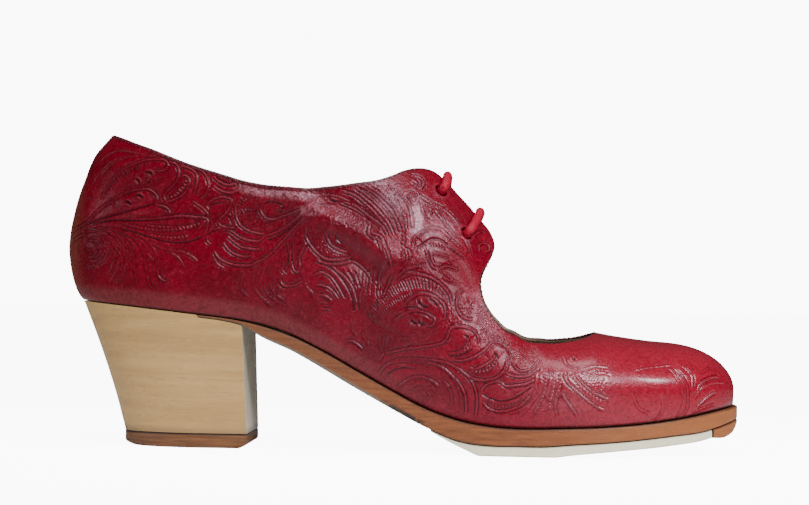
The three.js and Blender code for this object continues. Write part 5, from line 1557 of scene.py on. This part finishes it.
STATION_COUNT = 150
STATION_GAP = 1e-4
CAP_STRIPS = 14
ROUND_STEPS = 5
EDGE_STEPS = 6
ROUNDING_ROOM = 2.5
SHARP_LAYER = 40
SHARP_HEEL = 35


def stations(start, end):
    """Places along the shoe, closer together towards the round of the heel and the toe."""
    even = np.linspace(0, 1, STATION_COUNT)
    heel = HEEL_CENTRE * (1 - np.sin((1 - even) * QUARTER_TURN))
    toe = FAN_START + (1 - FAN_START) * np.sin(even * QUARTER_TURN)
    middle = np.linspace(HEEL_CENTRE, FAN_START, STATION_COUNT)
    every = np.unique(np.concatenate([heel[::2], middle, toe[::2]]))
    between = every[(every > start + STATION_GAP) & (every < end - STATION_GAP)]
    return np.concatenate([[start], between, [end]])


def ring_of(places_along, margin, height):
    """Ring around the sole, along the outer side and back on the inner one."""
    there = line_point(OUTER, places_along, margin)
    back = line_point(INNER, places_along[::-1], margin[::-1] if np.ndim(margin) else margin)
    return np.concatenate([np.stack([*there, height], 1), np.stack([*back, height[::-1]], 1)])


def stacked(rings, across=CAP_STRIPS):
    """Closed solid of rings from the bottom up, its caps laid across in even strips."""
    levels, count = len(rings), len(rings[0])
    half, shift = count // 2, count * levels
    points = [np.array(rings).transpose(1, 0, 2).reshape(-1, 3)]
    quads = [grid_quads(count, levels, wrap=True)[:, ::-1]]
    share = np.linspace(0, 1, across + 1)
    for ring, flip in ((rings[0], False), (rings[-1], True)):
        near, far = ring[:half], ring[half:][::-1]
        cap = near[:, None] + (far - near)[:, None] * share[None, :, None]
        points.append(cap.reshape(-1, 3))
        quads.append(grid_quads(half, across + 1, flip=flip) + shift)
        shift += half * (across + 1)
    return np.concatenate(points), np.concatenate(quads)


def layer_levels(low_z, high_z, rounding, room):
    """Heights and insets of a layer's rings, for an edge rounded under and over."""
    turn = np.linspace(0, QUARTER_TURN, ROUND_STEPS)
    bends = [(rounding * (1 - math.cos(a)), rounding * (1 - math.sin(a))) for a in turn]
    lower = [(low_z + height * room, inset) for height, inset in bends]
    upper = [(high_z - height * room, inset) for height, inset in bends[::-1]]
    low_end, high_end = lower[-1][0], upper[0][0]
    straight = [(low_end * (1 - share) + high_end * share, 0)
                for share in np.linspace(0, 1, EDGE_STEPS + 2)[1:-1]]
    return lower + straight + upper


def layer(name, start, end, top, bottom, margin, rounding, material, node):
    """Layer under or in the upper between two heights, with its share of the height as attribute."""
    places_along = stations(start, end)
    low_z, high_z = bottom(places_along), top(places_along)
    room = np.minimum(1, (high_z - low_z) / (ROUNDING_ROOM * rounding))
    levels = layer_levels(low_z, high_z, rounding, room)
    rings = [ring_of(places_along, margin(places_along) - inset * room, z) for z, inset in levels]
    points, quads = stacked(rings)
    thickness = np.maximum(high_z - low_z, 1e-6)
    side_share = np.array([(z - low_z) / thickness for z, _ in levels])
    ring_share = np.concatenate([side_share, side_share[:, ::-1]], axis=1).T.ravel()
    cap_points = (len(points) - len(ring_share)) // 2
    share = np.concatenate([ring_share, np.zeros(cap_points), np.ones(cap_points)])
    piece = add_mesh(name, points, quads, material, nodes=(node,), attributes={"share": share})
    piece.data.set_sharp_from_angle(angle=math.radians(SHARP_LAYER))


SOLE_START = OUTSOLE[1][0]
TREAD_START, TREAD_END = HALF_SOLE[1][0], HALF_SOLE[-1][0]
layer("sole_layer", SOLE_START, 1.0, outsole_top, outsole_bottom, sole_edge, 0.6,
      sole_finish, "outsole")
layer("rubber_tread", TREAD_START, TREAD_END, half_sole_top, half_sole_bottom, tread_edge, 0.5,
      rubber_finish, "half_sole")
layer("toe_layer", TREAD_END + FIT_GAP / SHOE_LENGTH, 1.0, half_sole_top, toe_piece_bottom, sole_edge, 0.5,
      sole_finish, "toe_piece")
layer("footbed", 0.0, 1.0, footbed_top, sole_line, footbed_edge, 0.4,
      lining_finish, "insole")

# Heel block and its top piece

HEEL_RINGS = [("level", "hollow"), (0, 0), (0.25, 0.8), (0.5, 1), (0.75, 0.7), (1, 0)]
heel_hollow = curve(HEEL_RINGS, "hollow")
HEEL_BASE_Z = LIFT_THICKNESS + FIT_GAP
HEEL_SIDE_POINTS = 30
HEEL_BACK_POINTS = 90
HEEL_LEVELS = 25
HEEL_CAP_STRIPS = 10
SOLE_START_GAP = 0.002


def heel_top(along):
    under_sole = outsole_bottom(along) - FIT_GAP
    return np.where(along < SOLE_START - SOLE_START_GAP, outsole_top(along), under_sole)


def heel_ring(level, bottom_z, top, margin=0.0, hollow=0.0):
    """Ring around the heel at a level from 0, its base, to 1, the seat."""
    sides = np.linspace(HEEL_BREAST / SHOE_LENGTH, HEEL_CENTRE, HEEL_SIDE_POINTS)[:-1]
    back = HEEL_CENTRE * (1 - np.sin(np.linspace(0, 1, HEEL_BACK_POINTS) * QUARTER_TURN))
    places_along = np.concatenate([sides, back])
    ring = ring_of(places_along, HEEL_SEAT_EDGE + margin, top(places_along))
    top_length = HEEL_BREAST - ring[len(places_along) - 1, 0]
    top_width = ring[-1, 1] - ring[0, 1]
    front_x = HEEL_BREAST + HEEL_BREAST_LEAN * (1 - level)
    length_share = HEEL_BASE_LENGTH / top_length * (1 - level) + level
    width_share = HEEL_BASE_WIDTH / top_width * (1 - level) + level
    share = (HEEL_BREAST - ring[:, 0]) / top_length
    return np.stack([front_x - share * (top_length * length_share - hollow * HEEL_BACK_HOLLOW),
                     ring[:, 1] * width_share,
                     bottom_z + (ring[:, 2] - bottom_z) * level], 1)[::-1]


def build_heel_block():
    rings = [heel_ring(level, HEEL_BASE_Z, heel_top, hollow=heel_hollow(level))
             for level in np.linspace(0, 1, HEEL_LEVELS)]
    points, quads = stacked(rings, HEEL_CAP_STRIPS)
    faces_up, last_point = len(rings) - 1, len(rings[0]) - 1
    breast = np.zeros(len(quads))
    breast[last_point * faces_up:(last_point + 1) * faces_up] = 1
    block = add_mesh("heel_block", points, quads, wood_finish, nodes=("heel",),
                     attributes={"breast": breast})
    block.data.set_sharp_from_angle(angle=math.radians(SHARP_HEEL))


LIFT_WEAR_LEAST = 0.3
LIFT_WEAR_ROUND = 3
LIFT_END_TUCK = 1.6
LIFT_SIDE_TUCK = 0.6
LIFT_STEPS = 7
LIFT_TOP_EDGE = 0.3
LIFT_TOP_SHARE = 0.995


def build_heel_tip():
    """Top piece under the block, worn round towards its ends and sides."""
    top = heel_ring(0, 0, np.zeros_like, LIFT_EDGE)
    x, y = top[:, 0], top[:, 1]
    middle = (x.min() + x.max()) / 2
    end = (x - middle) / np.abs(x - middle).max()
    worn = LIFT_BEVEL * (LIFT_WEAR_LEAST + (1 - LIFT_WEAR_LEAST) * np.abs(end) ** LIFT_WEAR_ROUND)
    rings = []
    for share in np.linspace(0, 1, LIFT_STEPS):
        tuck = (1 - share) ** 2
        end_tuck = end * np.abs(end) * LIFT_BEVEL * LIFT_END_TUCK * tuck
        side_share = 1 - LIFT_BEVEL / HEEL_BASE_WIDTH * LIFT_SIDE_TUCK * tuck
        rings.append(np.stack([x - end_tuck, y * side_share, worn * share], 1))
    for z, side_share in ((LIFT_THICKNESS - LIFT_TOP_EDGE, 1), (LIFT_THICKNESS, LIFT_TOP_SHARE)):
        rings.append(np.stack([x, y * side_share, np.full(len(top), z)], 1))
    points, quads = stacked(rings, HEEL_CAP_STRIPS)
    tip = add_mesh("heel_tip", points, quads, lift_finish, nodes=("heel_lift",))
    tip.data.set_sharp_from_angle(angle=math.radians(SHARP_LAYER))


build_heel_block()
build_heel_tip()

# Lace: the route of the part's source, as a finer round cord

LACE_START = (0.55, 0.25)
LACE_LINK = (0.2, 0.5, 0.8)
LACE_STEPS = 20
LACE_SIDES = 24
PLAIT_PITCH = 3.2
NEAR_LACE = (10, 18, 121)


def edge_over(side, along):
    """Point of the top edge over a place along the shoe, among the rows near the lace."""
    keys = edge_keys(side)
    foot, head, sweep = edge_values(keys, np.linspace(*NEAR_LACE))
    best = np.argmin(np.abs(head - along))
    return surface(side, foot[best], head[best], sweep[best], 1.0)


def lace_route():
    clear = LACE_DIAMETER / 2 + FIT_GAP
    inward = -(UPPER_WALL + clear)
    high, low = EYELETS[1], EYELETS[2]

    def hole(side, eyelet, depth):
        return surface_at(side, *eyelet) + surface_normal(side, *eyelet) * depth

    def bar(eyelet, crossing):
        near, far = edge_over(OUTER, crossing), edge_over(INNER, crossing)
        peak = max(near[2], far[2]) + clear + LACE_LIFT
        over = [np.array([edge[0], edge[1], peak - LACE_SAG]) for edge in (near, far)]
        centre = np.array([near[0], (near[1] + far[1]) / 2, peak])
        return [hole(OUTER, eyelet, clear), over[0], centre, over[1], hole(INNER, eyelet, clear)]

    def runs(side, shares):
        start, end = hole(side, low, inward), hole(side, high, inward)
        return [start * (1 - share) + end * share for share in shares]

    return [*runs(OUTER, LACE_START), hole(OUTER, low, -UPPER_WALL),
            *bar(low, LACE_CROSSINGS[1]), hole(INNER, low, -UPPER_WALL),
            *runs(INNER, LACE_LINK), hole(INNER, high, -UPPER_WALL),
            *bar(high, LACE_CROSSINGS[0])[::-1],
            hole(OUTER, high, -UPPER_WALL), hole(OUTER, high, inward)]


def smooth_route(points):
    """Centripetal curve through the points."""
    points = np.array(points)
    padded = np.vstack([2 * points[0] - points[1], points, 2 * points[-1] - points[-2]])
    out = []

    def between(first, second, start, end, t):
        return (end - t) / (end - start) * first + (t - start) / (end - start) * second

    for at in range(1, len(padded) - 2):
        p = padded[at - 1:at + 3]
        gaps = np.linalg.norm(np.diff(p, axis=0), axis=1) ** 0.5
        knots = np.concatenate([[0], np.cumsum(gaps)])
        for t in np.linspace(knots[1], knots[2], LACE_STEPS, endpoint=False):
            a = [between(p[i], p[i + 1], knots[i], knots[i + 1], t) for i in range(3)]
            b = [between(a[i], a[i + 1], knots[i], knots[i + 2], t) for i in range(2)]
            out.append(between(b[0], b[1], knots[1], knots[2], t))
    out.append(points[-1])
    return np.array(out)


def tube(path, radius, turns):
    """Rings of a round tube along a path, with frames carried along it without twisting."""
    tangents = unit(np.gradient(path, axis=0))
    side_way = np.cross(tangents[0], [0, 0, 1.0])
    rings = []
    for point, tangent in zip(path, tangents):
        side_way = unit(side_way - tangent * np.dot(side_way, tangent))
        up_way = np.cross(tangent, side_way)
        rings.append(point + radius * (np.cos(turns)[:, None] * side_way + np.sin(turns)[:, None] * up_way))
    return np.array(rings)


def tube_quads(ring_count, sides):
    quads = []
    for at in range(ring_count - 1):
        base = at * sides + np.arange(sides)
        after = at * sides + (np.arange(sides) + 1) % sides
        quads.append(np.stack([base, after, after + sides, base + sides], 1))
    return np.concatenate(quads)


def build_lace():
    """Round cord on its route, with the height of its plait as attribute."""
    path = smooth_route(lace_route())
    turns = np.arange(LACE_SIDES) * 2 * math.pi / LACE_SIDES
    rings = tube(path, LACE_DIAMETER / 2, turns)
    strand = 2 * math.pi * path_lengths(path)[:, None] / PLAIT_PITCH
    plait = np.maximum(np.abs(np.sin(strand + 2 * turns)), np.abs(np.sin(strand - 2 * turns)))
    add_mesh("cord_lace", rings, tube_quads(len(path), LACE_SIDES), cord_finish,
             nodes=("lace",), attributes={"plait": plait})


build_lace()

# Floor, light and camera

FLOOR_HALF = 6
FLOOR_GLOW = 9.5
BACKDROP_GLOW = 10
WHITE = (1, 1, 1, 1)


def build_floor():
    """Floor that looks white to the camera and lights the shoe less with the distance."""
    mesh = bpy.data.meshes.new("floor")
    corners = [(x * FLOOR_HALF, y * FLOOR_HALF, 0) for x, y in ((-1, -1), (1, -1), (1, 1), (-1, 1))]
    mesh.from_pydata(corners, [], [(0, 1, 2, 3)])
    floor = bpy.data.objects.new("floor", mesh)
    bpy.context.scene.collection.objects.link(floor)
    finish = Finish("pale_floor", (0.9, 0.9, 0.9), 0.85)
    away = finish.tree.nodes.new("ShaderNodeVectorMath")
    away.operation = "LENGTH"
    finish.put(away, 0, finish.place)
    tone = finish.range(away.outputs["Value"], 0.14, 0.42)
    finish.paint(finish.mix(tone, (0.85, 0.85, 0.85), (0.1, 0.1, 0.1)))
    seen = finish.tree.nodes.new("ShaderNodeLightPath").outputs["Is Camera Ray"]
    finish.put(finish.shader, "Emission Color", WHITE)
    finish.put(finish.shader, "Emission Strength", finish.times(seen, FLOOR_GLOW))
    mesh.materials.append(finish.material)


def studio_world():
    """Light tent: bright above and behind the shoe, dark on the side that the camera stands on."""
    world = bpy.data.worlds.new("studio")
    world.use_nodes = True
    tree = world.node_tree
    tent, output = tree.nodes["Background"], tree.nodes["World Output"]
    direction, parts, total, backdrop, path, mix = (tree.nodes.new(kind) for kind in (
        "ShaderNodeTexCoord", "ShaderNodeSeparateXYZ", "ShaderNodeMath", "ShaderNodeBackground",
        "ShaderNodeLightPath", "ShaderNodeMixShader"))
    tree.links.new(direction.outputs["Generated"], parts.inputs[0])
    total.operation = "ADD"
    behind = soft_range(tree, parts.outputs["Y"], -0.35, 0.6, 0.06, 0.9)
    above = soft_range(tree, parts.outputs["Z"], 0.1, 0.9, 0.0, 0.9)
    backdrop.inputs["Color"].default_value = WHITE
    backdrop.inputs["Strength"].default_value = BACKDROP_GLOW
    for source, target in (
            (behind, total.inputs[0]), (above, total.inputs[1]),
            (total.outputs[0], tent.inputs["Strength"]), (path.outputs["Is Camera Ray"], mix.inputs[0]),
            (tent.outputs[0], mix.inputs[1]), (backdrop.outputs[0], mix.inputs[2]),
            (mix.outputs[0], output.inputs["Surface"])):
        tree.links.new(source, target)
    bpy.context.scene.world = world


def look_at(thing, place, aim):
    thing.location = place
    thing.rotation_euler = (Vector(aim) - Vector(place)).to_track_quat("-Z", "Y").to_euler()
    bpy.context.scene.collection.objects.link(thing)


# Lights: place and aim in metres, size, power in watts
LIGHTS = {
    "key": ((0.48, -0.9, 0.85), (0.02, 0, 0.06), (0.34, 0.34), 15.2),
    "overhead": ((0.0, -0.1, 0.9), (0.0, 0, 0.06), (0.6, 0.4), 4),
    "fill": ((-0.8, -1.1, 0.35), (0, 0, 0.05), (0.6, 0.4), 2.2),
    "toe": ((1.0, -0.49, 0.9), (0.08, 0, 0.03), (0.2, 0.2), 6.5),
    "back": ((-1.0, -0.3, 0.3), (-0.1, 0, 0.07), (0.3, 0.3), 1.6),
}


def soft_light(name, place, aim, size, power):
    data = bpy.data.lights.new(name, "AREA")
    data.shape = "RECTANGLE"
    data.size, data.size_y = size
    data.energy = power
    look_at(bpy.data.objects.new(name, data), place, aim)


# Camera: millimetres for lens and sensor, metres for its place and aim, degrees for its roll
CAMERA_LENS = 105
CAMERA_SENSOR = 36
CAMERA_PLACE = (0.03751, -0.8991, 0.060)
CAMERA_AIM = (0.00061, 0, 0.0743)
CAMERA_ROLL = 0.83


def build_camera():
    data = bpy.data.cameras.new("camera")
    data.lens = CAMERA_LENS
    data.sensor_width = CAMERA_SENSOR
    camera = bpy.data.objects.new("camera", data)
    look_at(camera, CAMERA_PLACE, CAMERA_AIM)
    camera.rotation_euler.rotate_axis("Z", math.radians(CAMERA_ROLL))
    bpy.context.scene.camera = camera


build_floor()
studio_world()
for light_name, light_values in LIGHTS.items():
    soft_light(light_name, *light_values)
build_camera()
